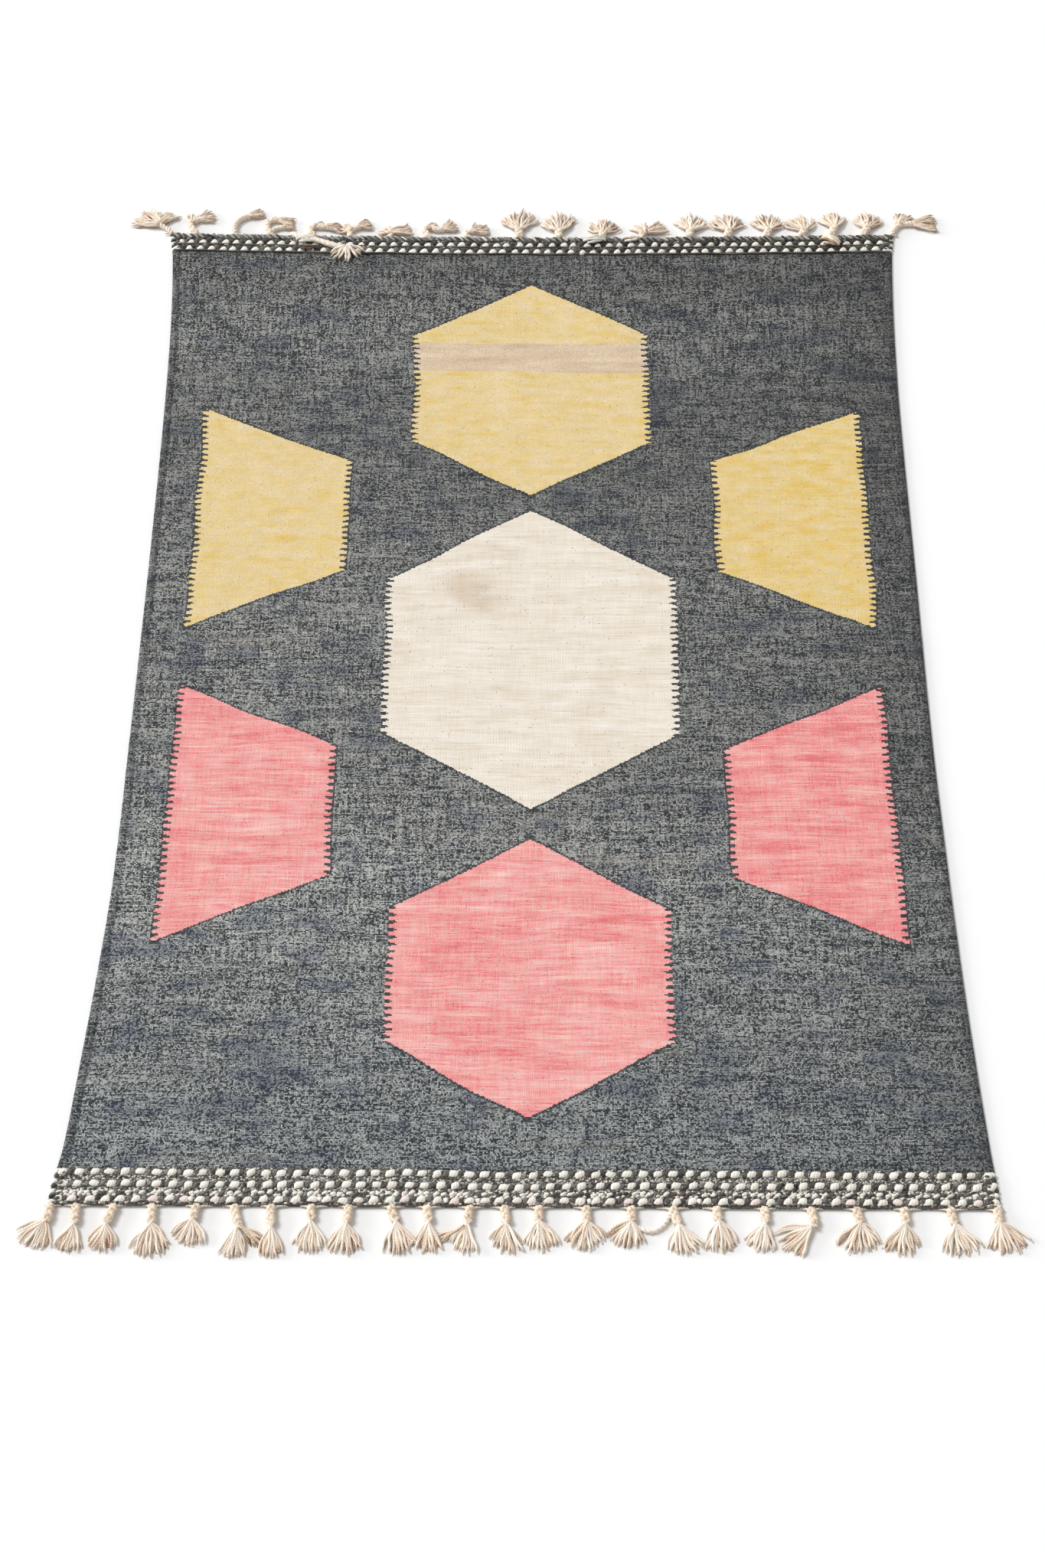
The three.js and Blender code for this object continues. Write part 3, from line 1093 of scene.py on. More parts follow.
class Cells:
    """The woven cells, as signals at a point of the cloth.

    Attributes:
        graph: the material's graph.
        x, y: place on the cloth, in millimetres, with the yarns' slow sway.
        middle_x, middle_y: place of the cell's own middle.
        dome: height of the cell's dot of yarn, from 0 to 1.
        speck, chance: random numbers of the cell, for specks and ragged edges.
        tint: slow noise, for the tint of the wool.
        row_run, column_run: noise along a row and a column, for dark and pale runs.
        tones: the unevennesses by name, each from 0 to 1.
    """

    def __init__(self, g: Graph, look: WovenFinish) -> None:
        """Divides the cloth into cells.

        Row and column are the places along and across over the weft's and the warp's pitch,
        rounded down. In about half of the cloth every second row is shifted by half a cell.

        Args:
            g: the material's graph.
            look: the sizes of the cells and of the noises that they follow.
        """
        u, v = g.weave_map()
        x, y = u / MM, v / MM
        sway, drift = g.mottle(look.sway, x, y)
        x = x + sway.swing(look.sway_reach[0])
        y = y + drift.swing(look.sway_reach[1])
        level = y / look.weft
        row = level.floor()
        stagger, self.tint = g.mottle(look.tint, x, row * look.weft)
        place = x / look.warp + (row * 0.5).fraction() * stagger.above(0.5)
        column = place.floor()
        self.graph, self.x, self.y = g, x, y
        self.middle_x = (column + 0.5) * look.warp
        self.middle_y = (row + 0.5) * look.weft
        self.dome = (place - column).dot(look.dot_fall) * (level - row).dot(look.dot_fall)
        grain, self.speck, self.chance = g.dice(column, row)
        rows, long_rows, columns = look.rows, look.long_rows, look.columns
        row_tone, self.row_run = g.clouds(x / rows.long, rows.at(row), rows.seed)
        long_row, _ = g.clouds(x / long_rows.long, long_rows.at(row), long_rows.seed)
        column_tone, self.column_run = g.clouds(columns.at(column), y / columns.long, columns.seed)
        bars, wisps = g.mottle(look.bars, x, y), g.mottle(look.wisps, x, y)
        self.tones = dict(zip(UNEVEN, (row_tone, long_row, column_tone, *bars, *wisps, grain)))


@dataclass(frozen=True)
class WovenFinish:
    """The woven field: two-tone ground wool with plain dyed wool in the lozenges.

    Every row of cells has a tone that changes slowly along X, every column one that changes
    slowly along Y, and every cell a random one, so that the ground looks crosshatched. A
    lozenge covers a cell whose middle is inside its outline, so that its edges step as
    woven ones do. A Ramp's span is a noise's own range, or a place in millimetres.
    """

    # The cells, the noises that their tones follow, and the relief
    warp: float = 2.3
    weft: float = 2.0
    dot_fall: float = 0.85
    sway: Mottle = Mottle(130, 90, 3)
    sway_reach: Pair = (9.0, 10.0)
    tint: Mottle = Mottle(70, 40, 51, 1)
    bars: Mottle = Mottle(150, 20, 23, 1)
    wisps: Mottle = Mottle(46, 22, 83, 1)
    rows: Streak = Streak(30, 1.73, 0.4, 11)
    long_rows: Streak = Streak(160, 0.61, 0.3, 19)
    columns: Streak = Streak(42, 1.73, 0.4, 37)
    relief: Pair = (0.55, 0.45)
    row_relief: float = 0.4

    # The ground: its wools, its level, the painted shade between its dots, and what differs at the near and
    # far ends
    ground_dark: Colour = srgb(45, 49, 53)
    ground_light: Colour = srgb(214, 215, 209)
    ground_blue: Colour = srgb(44, 56, 86)
    ground_warm: Colour = srgb(112, 98, 84)
    near_tint: Colour = (0.96, 1.0, 1.04)
    ground_level: float = 0.36
    ground_dome_shade: Pair = (0.2, 1.2)
    far_span: Pair = (450.0, 870.0)
    near_span: Pair = (-350.0, -860.0)
    near_calm: float = 0.28
    far_grain: float = 0.8
    pale_columns: Ramp = Ramp(0.64, 0.74, 0.08)
    far_columns: Ramp = Ramp(0.64, 0.74, 0.16)
    dark_rows: Ramp = Ramp(0.64, 0.7, 0.2)
    pale_rows: Ramp = Ramp(0.34, 0.26, 0.14)
    blue_patches: Ramp = Ramp(0.5, 0.74, 0.4)
    warm_patches: Ramp = Ramp(0.6, 0.8, 0.22)
    speck_share: float = 0.0035
    speck_light: float = 0.5

    # The cord along each selvedge, and the dark ticks at the far seam
    selvedge_inset: Pair = (14.0, 11.0)
    selvedge_pitch: float = 4.6
    selvedge_dark: Pair = (0.35, 0.15)
    tick_span: Ramp = Ramp(861, 865, 0.6)
    tick_pitch: float = 1.52789
    tick_edge: Pair = (-0.3, 0.5)

    # Where the ground darkens, partly painted shade where the wool's sheen and the light fall off and
    # partly uneven dye: along the length, across, and on the right of the left side
    pale_level: float = 0.82
    fade_along: tuple[Ramp, ...] = (
        Ramp(-680, -380, -0.18), Ramp(-400, -160, 0.2), Ramp(60, 420, 0.2), Ramp(540, 640, -0.05),
        Ramp(690, 820, 0.17),
    )
    fade_across: tuple[Ramp, ...] = (Ramp(-300, 400, 0.12), Ramp(360, 580, 0.23))
    fade_middle: Pair = (-450.0, 0.0)
    fade_middle_along: tuple[Ramp, ...] = (Ramp(-600, -200, 0.1), Ramp(200, 700, 0.03))

    # The dyed wools, and the painted shade between their yarns and towards the right
    wool_shade: Colour = (0.42, 0.36, 0.32)
    wool_gap: float = 0.22
    wool_grain: float = 0.42
    # painted shade: the dyed wools deepen towards the right, where the light falls off
    shade_right: Ramp = Ramp(150, 350, 0.1)
    spots: Mottle = Mottle(34, 16, 71, 2)
    yellow_level: float = 0.55
    yellow_spots: float = 1.3
    yellow_streaks: float = 0.6
    # the yellow deepens more on the right: partly painted shade, partly richer dye
    yellow_shade_and_dye_right: Ramp = Ramp(150, 350, 0.12)
    fleck_share: float = 0.006
    fleck_dome: Ramp = Ramp(0.2, 0.8, 0.6)

    # The beige bar through the far lozenge, and the stain on the cream one
    beige: Colour = srgb(232, 212, 184)
    beige_deep: Colour = srgb(206, 180, 150)
    beige_from: float = 595.0
    beige_to: float = 660.0
    beige_soft: float = 2.0
    beige_half: Pair = (250.0, 240.0)
    beige_uneven: tuple[tuple[str, float], ...] = (("bar", 1.6), ("row", 0.7), ("broad", 0.8))
    stain: Colour = srgb(196, 170, 138)
    stain_at: Pair = (-95.0, 120.0)
    stain_squash: float = 1.8
    stain_reach: Pair = (105.0, 10.0)
    stain_patches: Ramp = Ramp(0.35, 0.7, 0.5)

    # The toothed sides of the lozenges, and the dark rim outside them
    tooth_reach: float = 5.0
    tooth_pitch: float = 11.8
    tooth_square: Pair = (0.5, 1.9)
    ragged: float = 1.5
    rim_reach: float = 6.5
    rim_dark: float = 0.8

    def material(self, cloth: ClothShape) -> Material:
        """Lays the nodes of the field's material.

        Args:
            cloth: the shape whose width sets the selvedges.

        Returns:
            The finished material.
        """
        g = Graph("woven_wool", roughness=0.92, sheen=0.1)
        cells = Cells(g, self)
        wools = self._wools(cells)
        grain = cells.tones["grain"]
        fleck = cells.speck.above(1.0 - self.fleck_share) * cells.dome.ramp(self.fleck_dome)
        colour = self._ground(cells, cloth.half_width)
        rims = []
        for wool in Wool:
            inside, plain = self._inside(wool, cells)
            # painted shade between the yarns from the dot's height, plus each cell's random grain
            shade = (1.0 - cells.dome) * self.wool_gap + (grain - self.wool_grain) * DYES[wool].coarse
            dyed = g.blend(shade.held(), wools[wool], self.wool_shade, "MULTIPLY")
            dyed = g.blend(fleck, dyed, self.ground_dark)
            colour = g.blend(inside.above(0.0), colour, dyed)
            rims.append(plain.above(-self.rim_reach) * (1.0 - inside.above(0.0)))
        colour = g.blend(reduce(Signal.highest, rims) * self.rim_dark, colour, self.ground_dark)
        relief = cells.dome * grain.line(self.relief) + cells.tones["row"] * self.row_relief
        return g.finish(colour, relief, deep=0.9, strength=0.5)

    def _ground(self, cells: Cells, half_width: float) -> Socket:
        """The heather ground, with its tints, its selvedges and its far seam.

        Its lightness is a level plus the weighted unevennesses, the runs and the cell's random
        tone, all times the dot's height, as painted shade between dots. Single cells are pale specks.

        Args:
            cells: the signals of the cells.
            half_width: half the width of the cloth, in millimetres.

        Returns:
            The colour of the ground.
        """
        g, x, y, tones = cells.graph, cells.x, cells.y, cells.tones
        far_share = y.step(*self.far_span)
        near_share = y.step(*self.near_span)
        wave = sum(
            tones[name].swing(far_share * part.far + part.ground if part.far else part.ground)
            for name, part in UNEVEN.items()
            if part.ground
        )
        run = cells.column_run.ramp(self.far_columns) * far_share
        run = run + cells.column_run.ramp(self.pale_columns)
        run = run - cells.row_run.ramp(self.dark_rows) + cells.row_run.ramp(self.pale_rows)
        single = tones["grain"].swing(far_share * self.far_grain + 1.0)
        light = wave * (1.0 - near_share * self.near_calm) + self.ground_level + run + single
        # painted shade: the ground is darker towards the edges of each dot of yarn
        light = (light * cells.dome.line(self.ground_dome_shade)).held()
        light = light + cells.speck.above(1.0 - self.speck_share) * self.speck_light
        colour = g.blend(light.held(), self.ground_dark, self.ground_light)
        colour = g.blend(cells.tint.ramp(self.blue_patches), colour, self.ground_blue)
        colour = g.blend(tones["patch"].ramp(self.warm_patches), colour, self.ground_warm)
        cord = abs(x).step(*(half_width - inset for inset in self.selvedge_inset))
        turns = (y / self.selvedge_pitch).sine().line(self.selvedge_dark)
        colour = g.blend(cord * turns, colour, self.ground_dark)
        ticks = y.ramp(self.tick_span) * (x / self.tick_pitch).sine().step(*self.tick_edge)
        colour = g.blend(ticks, colour, self.ground_dark)
        colour = g.blend(near_share, colour, self.near_tint, "MULTIPLY")
        # painted shade and uneven dye: the ground darkens towards black
        return g.blend(self._shade_and_dye_fall(x, y), colour, (0.0, 0.0, 0.0))

    def _shade_and_dye_fall(self, x: Signal, y: Signal) -> Signal:
        """How much darker the ground is than its palest part, near the left selvedge: partly painted shade,
        where the wool's sheen and the light fall off, partly uneven dye.

        1 less the product of two levels. One changes in soft steps along the length. The
        other falls towards the right, and on the left side a little towards the middle.

        Args:
            x: place across the cloth, in millimetres.
            y: place along the cloth.

        Returns:
            The share of black, from 0.
        """
        lengthwise = self.pale_level - sum(y.ramp(part) for part in self.fade_along)
        crosswise = 1.0 - sum(x.ramp(part) for part in self.fade_across)
        from_left = sum(y.ramp(part) for part in self.fade_middle_along)
        crosswise = crosswise - x.step(*self.fade_middle) * from_left
        return 1.0 - lengthwise * crosswise

    def _wools(self, cells: Cells) -> dict[Wool, Socket]:
        """The dyed wools.

        Their depth is the sum of the weighted unevennesses, deeper on the right as painted shade.
        The yellow one has spots of its own and a beige bar, and the cream one a stain.

        Args:
            cells: the signals of the cells.

        Returns:
            The colour of each wool.
        """
        g, x, y, tones = cells.graph, cells.x, cells.y, cells.tones
        wave = sum(tones[name].swing(part.dyed) for name, part in UNEVEN.items() if part.dyed)
        # painted shade: deeper towards the right
        depth = (wave - x.ramp(self.shade_right) + 0.5).held()
        spots, _ = g.mottle(self.spots, x, y)
        spotted = spots.swing(self.yellow_spots) + depth.swing(self.yellow_streaks)
        # painted shade and richer dye: the yellow deepens towards the right
        spotted = (spotted + self.yellow_level - x.ramp(self.yellow_shade_and_dye_right)).held()
        depths = {Wool.YELLOW: spotted, Wool.CREAM: depth, Wool.PINK: depth}
        colours = {wool: g.shades(at, *DYES[wool][:3]) for wool, at in depths.items()}
        soft = self.beige_soft
        bar = y.step(self.beige_from - soft, self.beige_from + soft)
        bar = bar * y.step(self.beige_to + soft, self.beige_to - soft) * abs(x).step(*self.beige_half)
        uneven = sum(tones[name].swing(weight) for name, weight in self.beige_uneven) + 0.5
        striped = g.blend(uneven.held(), self.beige_deep, self.beige)
        aside, ahead = x - self.stain_at[0], y - self.stain_at[1]
        away = (aside * aside + ahead * ahead * self.stain_squash).math("SQRT")
        stained = away.step(*self.stain_reach) * cells.tint.ramp(self.stain_patches)
        colours[Wool.YELLOW] = g.blend(bar, colours[Wool.YELLOW], striped)
        colours[Wool.CREAM] = g.blend(stained, colours[Wool.CREAM], self.stain)
        return colours

    def _inside(self, wool: Wool, cells: Cells) -> tuple[Signal, Signal]:
        """How far inside the lozenges of one wool a cell lies, with and without teeth.

        The half width of a lozenge is full along its straight part and falls evenly to 0
        over its point. Teeth add and take a few millimetres along the upright sides.

        Args:
            wool: the wool of the lozenges.
            cells: the signals of the cells.

        Returns:
            The two distances, in millimetres.
        """
        x, y = cells.middle_x, cells.middle_y
        tooth = (y / self.tooth_pitch).sine().line(self.tooth_square)
        tooth = tooth.highest(-1.0).lowest(1.0) * self.tooth_reach
        cuts, wholes = [], []
        for shape in (s for s in LOZENGES if s.wool is wool):
            rise = abs(y - shape.y)
            full = shape.straight + shape.point
            half = ((full - rise) / shape.point).held() * shape.half_width
            reach = tooth * (1.0 - rise.above(shape.straight))
            if shape.halved:
                from_line = shape.x - abs(x)
                whole = (half - from_line).lowest(from_line)
                cut = (half - from_line + reach).lowest(from_line + tooth)
            else:
                whole = half - abs(x - shape.x)
                cut = whole + reach
            wholes.append(whole.lowest(full - rise))
            cuts.append(cut.lowest(full - rise))
        toothed = reduce(Signal.highest, cuts) + cells.chance.swing(self.ragged)
        return toothed, reduce(Signal.highest, wholes)


@dataclass(frozen=True)
class YarnFinish:
    """A spun yarn: its colour from shade to light, its twist and its roughness.

    fuzz, patches and shading are how much fine noise, slow noise and the twist change its
    tone. turn_relief is the height of the twist against that of the fine noise.
    """

    name: str
    shade: Colour
    usual: Colour
    pale: Colour
    pink: Colour
    twist: float = 4.2
    plies: int = 2
    relief: float = 0.5
    fuzz_size: float = 1.3
    fuzz: float = 0.5
    patches: float = 0.3
    shading: float = 0.12
    turn_relief: float = 0.3

    def material(self) -> Material:
        """Lays the nodes: twist lines around the yarn, a tone for each strand, loose fibres."""
        g = Graph(self.name, roughness=0.9, sheen=0.2)
        around, length = g.weave_map()
        turn = (around * float(self.plies) + length / (self.twist * MM)).sine()
        fuzz, patch = g.clouds(*(part / self.fuzz_size for part in g.place()), 1.0)
        light = g.trait("tone") + fuzz.swing(self.fuzz) + patch.swing(self.patches)
        colour = g.shades(light + turn * self.shading, self.shade, self.usual, self.pale)
        colour = g.blend(g.trait("blush"), colour, self.pink)
        relief = turn * self.turn_relief + 0.5 + fuzz.swing(self.fuzz)
        return g.finish(colour, relief, deep=0.5, strength=self.relief)


@dataclass(frozen=True)
class HeatherFinish:
    """The ground of a band: tight cells of dark and pale yarn at random."""

    name: str
    dark: Colour
    light: Colour
    warp: float = 3.0
    weft: float = 2.5
    pale_from: Pair = (0.35, 0.85)
    dome_shade: Pair = (0.2, 0.9)
    uneven: float = 0.2
    relief: Pair = (0.5, 0.5)

    def material(self) -> Material:
        """Lays the nodes of the band's ground, whose rows each shift by half a cell."""
        g = Graph(self.name, roughness=0.92, sheen=0.12)
        u, v = g.weave_map()
        x, y = u / MM, v / MM
        level = y / self.weft
        row = level.floor()
        place = x / self.warp + y / (self.weft * 2.0)
        column = place.floor()
        grain, second, _ = g.dice(column, row, 5.0)
        dome = (place - column).dot() * (level - row).dot()
        # painted shade: pale grains are darker towards the edges of their cells, as shade between them
        light = grain.step(*self.pale_from) * dome.line(self.dome_shade) + second.swing(self.uneven)
        colour = g.blend(light.held(), self.dark, self.light)
        return g.finish(colour, dome * grain.line(self.relief), deep=0.9, strength=0.6)


# In the order of the strands
YARNS = tuple(
    YarnFinish(name, *(srgb(*colour) for colour in colours))
    for name, *colours in (
        ("tassel_yarn", (156, 120, 90), (230, 211, 187), (252, 245, 234), (236, 204, 186)),
        ("cream_yarn", (170, 162, 146), (230, 226, 214), (248, 246, 239), (228, 208, 200)),
        ("charcoal_yarn", (18, 15, 12), (78, 74, 68), (158, 155, 147), (70, 58, 52)),
        ("brown_yarn", (48, 36, 30), (92, 74, 60), (136, 116, 98), (92, 74, 60)),
    )
)


def dress(piece: Piece, replaced: Sequence[str]) -> Piece:
    """Lets a piece ride on the rug's body, in place of its CAD nodes.

    Args:
        piece: the finished piece.
        replaced: names of the CAD nodes that it stands for.

    Returns:
        The piece.
    """
    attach(piece, BODY)
    if replaced:
        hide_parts(*replaced)
    count = len(piece.data.loops) - 2 * len(piece.data.polygons)
    LOG.info("%s: %d triangles", piece.name, count)
    return piece


class Wave(NamedTuple):
    """Low waves of the cloth's top: height, length and seed."""

    high: float
    long: float
    seed: int


@dataclass
class WovenField:
    """The main cloth between the two bands: an even sheet with a cord along each selvedge."""

    cloth: ClothShape
    thick: float = 4.0
    selvedge_wide: float = 12.0
    selvedge_thick: float = 5.2
    cord_plump: float = 0.7
    groove_deep: float = 0.55
    groove_half: float = 1.3
    edge_round: float = 2.6
    edge_middle: float = 2.2
    clearance: float = 0.15
    swell: Wave = Wave(0.28, 230.0, 3)
    wrinkle: Wave = Wave(0.13, 42.0, 4)
    pucker: Wave = Wave(0.35, 21.0, 5)
    pucker_stretch: float = 0.12
    pucker_fade: float = 55.0
    cells_across: int = 210
    cells_along: int = 332
    cells_under: int = 24
    rim: tuple[float, ...] = (0.0, 0.35, 1.0, 2.0, 3.4, 5.0, 6.6, 8.2, 9.8, 11.2, 12.4, 13.8, 16.0)
    under_from: int = 2

    def build(self) -> Piece:
        """Makes the field and its material, in place of its CAD node."""
        half, gap = self.cloth.half_width, self.clearance
        rim = np.array(self.rim)
        inner = np.linspace(-half + rim[-1], half - rim[-1], self.cells_across + 1)
        across = np.concatenate([-half + rim[:-1], inner, half - rim[-2::-1]]) / half
        seams = self.cloth.near_seam + gap, self.cloth.far_seam - gap
        rows = np.linspace(*seams, self.cells_along + 1)
        u, y = np.meshgrid(across, rows)
        top = self._points(u, y, self._height(u, y))
        foot = half - rim[self.under_from]
        under = np.linspace(-foot, foot, self.cells_under + 1) / half
        u_low, y_low = np.meshgrid(under, rows)
        bottom = self._points(u_low, y_low, np.zeros(u_low.shape))
        solid = slab(top, bottom, self._map(u, y), self._map(u_low, y_low))
        piece = solid.to_piece("woven_cloth", [WovenFinish().material(self.cloth)])
        return dress(piece, ["field"])

    def _points(self, u: Array, y: Array, z: Array) -> Array:
        """Places of woven points at a height."""
        x, y = self.cloth.place(u, y)
        return np.stack([x, y, z], -1)

    def _map(self, u: Array, y: Array) -> Array:
        """The woven coordinates of points, in metres."""
        return np.stack([u * self.cloth.half_width, y], -1) * MM

    def _height(self, u: Array, y: Array) -> Array:
        """Height of the cloth's top.

        The even thickness, plus the fold lines, a slow and a quick ripple, and short
        puckers that fade away from the far band. Along each side a half sine raises the
        selvedge cord, a narrow bell sinks the groove beside it, and a quarter ellipse
        rounds the edge down to its middle.

        Args:
            u: place across the width, from -1 to 1.
            y: nominal place along the length.

        Returns:
            The height at each place.
        """
        x, lie = self.cloth.place(u, y)
        inset = self.cloth.half_width * (1 - np.abs(u))
        fade = np.exp(-(self.cloth.far_seam - y) / self.pucker_fade)
        body = self.thick + self.cloth.crease_height(x, lie)
        for wave in (self.swell, self.wrinkle):
            body += wave.high * ripple(x, lie, wave.long, wave.seed)
        pucker = ripple(x, lie * self.pucker_stretch, self.pucker.long, self.pucker.seed)
        body += self.pucker.high * fade * pucker
        share = np.clip(inset / self.selvedge_wide, 0, 1)
        cord = (self.selvedge_thick - self.thick) * np.sin(np.pi * share) ** self.cord_plump
        from_cord = (inset - self.selvedge_wide) / self.groove_half
        groove = self.groove_deep * np.exp(-(from_cord**2))
        turned = np.clip(1 - inset / self.edge_round, 0, 1)
        rounding = np.sqrt(1 - turned**2)
        return mix(self.edge_middle, body + cord - groove, rounding)


class Wrap(NamedTuple):
    """The yarns that wrap a band's end: place across, half sizes, height, whether every
    second one is cream."""

    place: float
    halves: tuple[float, float, float]
    high: float
    mixed: bool


@dataclass
class TwinedBand:
    """A band across one end: a heather ground, rows of raised stitches and twisted cords.

    The values named shift and within are the spreads of the small differences between
    stitches. fall is how much darker the right of the band is than its left.
    """

    cloth: ClothShape
    end: End
    stitches: tuple[StitchRow, ...]
    cords: tuple[CordRow, ...]
    ground: tuple[Colour, Colour]
    yarns: list[Material]
    seed: int
    dark_tone: float
    dark_within: float
    brown_share: float
    fall: float
    valley: float = 4.4
    crest: float = 5.2
    ribs: int = 4
    edge_middle: float = 2.2
    edge_round: float = 2.5
    side_round: float = 300.0
    strip_cells: tuple[int, int] = (27, 161)
    under_cells: int = 21
    under_half: float = 0.999
    clearance: float = 0.15
    seat: float = 4.5
    wide_share: float = 1.035
    last_stitch: float = 0.992
    shift_across: float = 1.1
    shift_out: float = 0.5
    shift_lean: float = 8.0
    shift_up: float = 0.2
    size_within: float = 0.1
    cream_within: float = 0.07
    cream_fall: float = 0.8
    fall_span: Pair = (-200.0, 250.0)
    wander: Wave = Wave(0.6, 110.0, 40)
    fine_from: float = 3.5
    plump_from: float = 6.0
    wraps: tuple[Wrap, ...] = (
        Wrap(0.994, (4.4, 3.4, 3.0), 3.5, True),
        Wrap(0.981, (4.4, 3.0, 3.0), 4.6, False),
    )
    wrap_pitch: float = 7.4
    wrap_lean: float = 22.0
    wrap_tone: float = 0.62
    cord_half: float = 0.995
    cord_steps: int = 6
    cord_wander: Wave = Wave(0.5, 90.0, 0)
    cord_shade: Wave = Wave(0.15, 60.0, 20)
    cord_high: Pair = (5.4, 3.4)

    @property
    def depth(self) -> float:
        """How far the band reaches from its seam to its outer edge."""
        if self.end is End.NEAR:
            return self.cloth.near_seam - self.cloth.near_edge
        return self.cloth.far_edge - self.cloth.far_seam

    @property
    def word(self) -> str:
        """The end's name, as in the names of the pieces."""
        return self.end.name.lower()

    @property
    def width(self) -> float:
        """Usual width of the band."""
        return 2 * self.cloth.half_width * self.wide_share

    def at(self, u: Array, out: Array) -> tuple[Array, Array]:
        """Where a point of the band lies, by its place across and its distance from the seam."""
        seam = self.cloth.near_seam if self.end is End.NEAR else self.cloth.far_seam
        return self.cloth.place(u, seam + self.end.value * out)

    def ripples(self, u: Array, wave: Wave, row: float, number: int = 0) -> Array:
        """Uneven waves along one row of the band, the same for the same row and number."""
        x = u * self.cloth.half_width
        return wave.high * ripple(x, u * 0 + row, wave.long, self.seed + wave.seed + number)

    def build(self) -> list[Piece]:
        """Makes the ground strip, the stitches and the cords of the band."""
        wool = HeatherFinish(f"heather_{self.word}", *self.ground)
        strip = self._strip().to_piece(f"band_ground_{self.word}", [wool.material()])
        raised = self._stitches().to_piece(f"band_stitches_{self.word}", self.yarns)
        twisted = self._cords().to_piece(f"band_cords_{self.word}", self.yarns)
        dress(strip, [f"twined_band_{self.word}"])
        return [strip, dress(raised, []), dress(twisted, [])]

    def _strip(self) -> Surface:
        """The ground: a slab whose top is a low wave along the depth, rounded at its edges.

        The wave is the size of a sine with a rib between two of its zeros. Each edge is a
        quarter circle down to its middle.
        """
        rows_count, columns_count = self.strip_cells
        out = np.linspace(self.clearance, self.depth, rows_count)[:: self.end.value]
        rows, columns = np.meshgrid(out, np.linspace(-1, 1, columns_count), indexing="ij")
        x, y = self.at(columns, rows)
        wave = np.abs(np.sin(np.pi * rows / self.depth * self.ribs))
        edge = np.sqrt(1 - np.clip(1 - (self.depth - rows) / self.edge_round, 0, 1) ** 2)
        side = np.sqrt(1 - np.clip(1 - (1 - np.abs(columns)) * self.side_round, 0, 1) ** 2)
        z = mix(self.edge_middle, mix(self.valley, self.crest, wave), np.minimum(edge, side))
        under = np.linspace(-self.under_half, self.under_half, self.under_cells)
        low_rows, low_columns = np.meshgrid(out, under, indexing="ij")
        x_low, y_low = self.at(low_columns, low_rows)
        half = self.cloth.half_width
        return slab(
            np.stack([x, y, z], -1),
            np.stack([x_low, y_low, np.zeros(x_low.shape)], -1),
            np.stack([columns * half, rows], -1) * MM,
            np.stack([low_columns * half, low_rows], -1) * MM,
        )

    def _stitches(self) -> Surface:
        """All the raised stitches, row by row."""
        rng = np.random.default_rng(self.seed)
        shapes = []
        for row in self.stitches:
            shapes += self._row(row, rng)
        shapes += self._wraps(rng)
        return Surface.join(shapes)

    def _row(self, row: StitchRow, rng: Random) -> list[Surface]:
        """One row of stitches, even but for small shifts.

        Args:
            row: the row.
            rng: random numbers.

        Returns:
            Its cream, charcoal and brown grains.
        """
        count = round(self.width / row.pitch)
        u = -1 + 2 * (np.arange(count) + 0.5 + row.shift) / count
        u = u[np.abs(u) < self.last_stitch]
        count = len(u)
        u = u + rng.normal(0, self.shift_across, count) / self.cloth.half_width
        wander = self.ripples(u, self.wander, row.out * 9)
        x, y = self.at(u, row.out + wander + rng.normal(0, self.shift_out, count))
        size = rng.uniform(1 - self.size_within, 1 + self.size_within, (count, 3))
        halves = np.array([row.wide, row.deep, row.high]) * size
        lean = np.radians(row.lean + rng.normal(0, self.shift_lean, count))
        yaw = lean + (np.pi if self.end is End.NEAR else 0.0)
        z = self.seat + rng.normal(0, self.shift_up, count)
        centres = np.stack([x, y, z], -1)
        cream = rng.random(count) < row.cream
        fall = self.fall * smooth(x, *self.fall_span)
        dark = rng.normal(self.dark_tone + row.lift, self.dark_within, count) - fall
        pale = rng.normal(row.tone, self.cream_within, count) - fall * self.cream_fall
        tone = np.where(cream, pale, dark)
        blush = np.clip(rng.normal(0, row.blush, count), 0, 0.9)
        brown = ~cream & (rng.random(count) < self.brown_share)
        kinds = ((cream, Strand.CREAM), (~cream & ~brown, Strand.CHARCOAL), (brown, Strand.BROWN))
        rings, sides = (6, 8) if row.wide > self.fine_from else (4, 6)
        plump = 0.62 if row.wide > self.plump_from else 0.8
        return [
            beads(
                centres[m], halves[m], yaw[m], row.taper, tone[m], blush[m],
                strand, rings, sides, plump, row.skew,
            )
            for m, strand in kinds
            if m.any()
        ]

    def _wraps(self, rng: Random) -> list[Surface]:
        """The yarns that wrap the band's two ends: cream and dark in turn, dark beside them.

        Args:
            rng: random numbers.

        Returns:
            Their grains.
        """
        count = max(5, round(self.depth / self.wrap_pitch))
        out = (np.arange(count) + 0.5) * self.depth / count
        even = np.arange(count) % 2 == 0
        shapes = []
        for side in (-1, 1):
            for wrap in self.wraps:
                shift = 0.0 if wrap.mixed else self.depth / count / 2
                across = np.full(count, side * wrap.place)
                x, y = self.at(across, np.minimum(out + shift, self.depth - 2))
                halves = np.array(wrap.halves) * rng.uniform(0.86, 1.14, (count, 3))
                centres = np.stack([x, y, np.full(count, wrap.high)], -1)
                yaw = np.radians(rng.normal(-self.wrap_lean * side, 10, count))
                tone = np.where(even, self.wrap_tone, self.dark_tone * 0.7)
                tone = tone + rng.normal(0, 0.1, count)
                cream = even & wrap.mixed
                for m, strand in ((cream, Strand.CREAM), (~cream, Strand.CHARCOAL)):
                    shapes.append(beads(centres[m], halves[m], yaw[m], 0.0, tone[m], tone[m] * 0, strand))
        return shapes

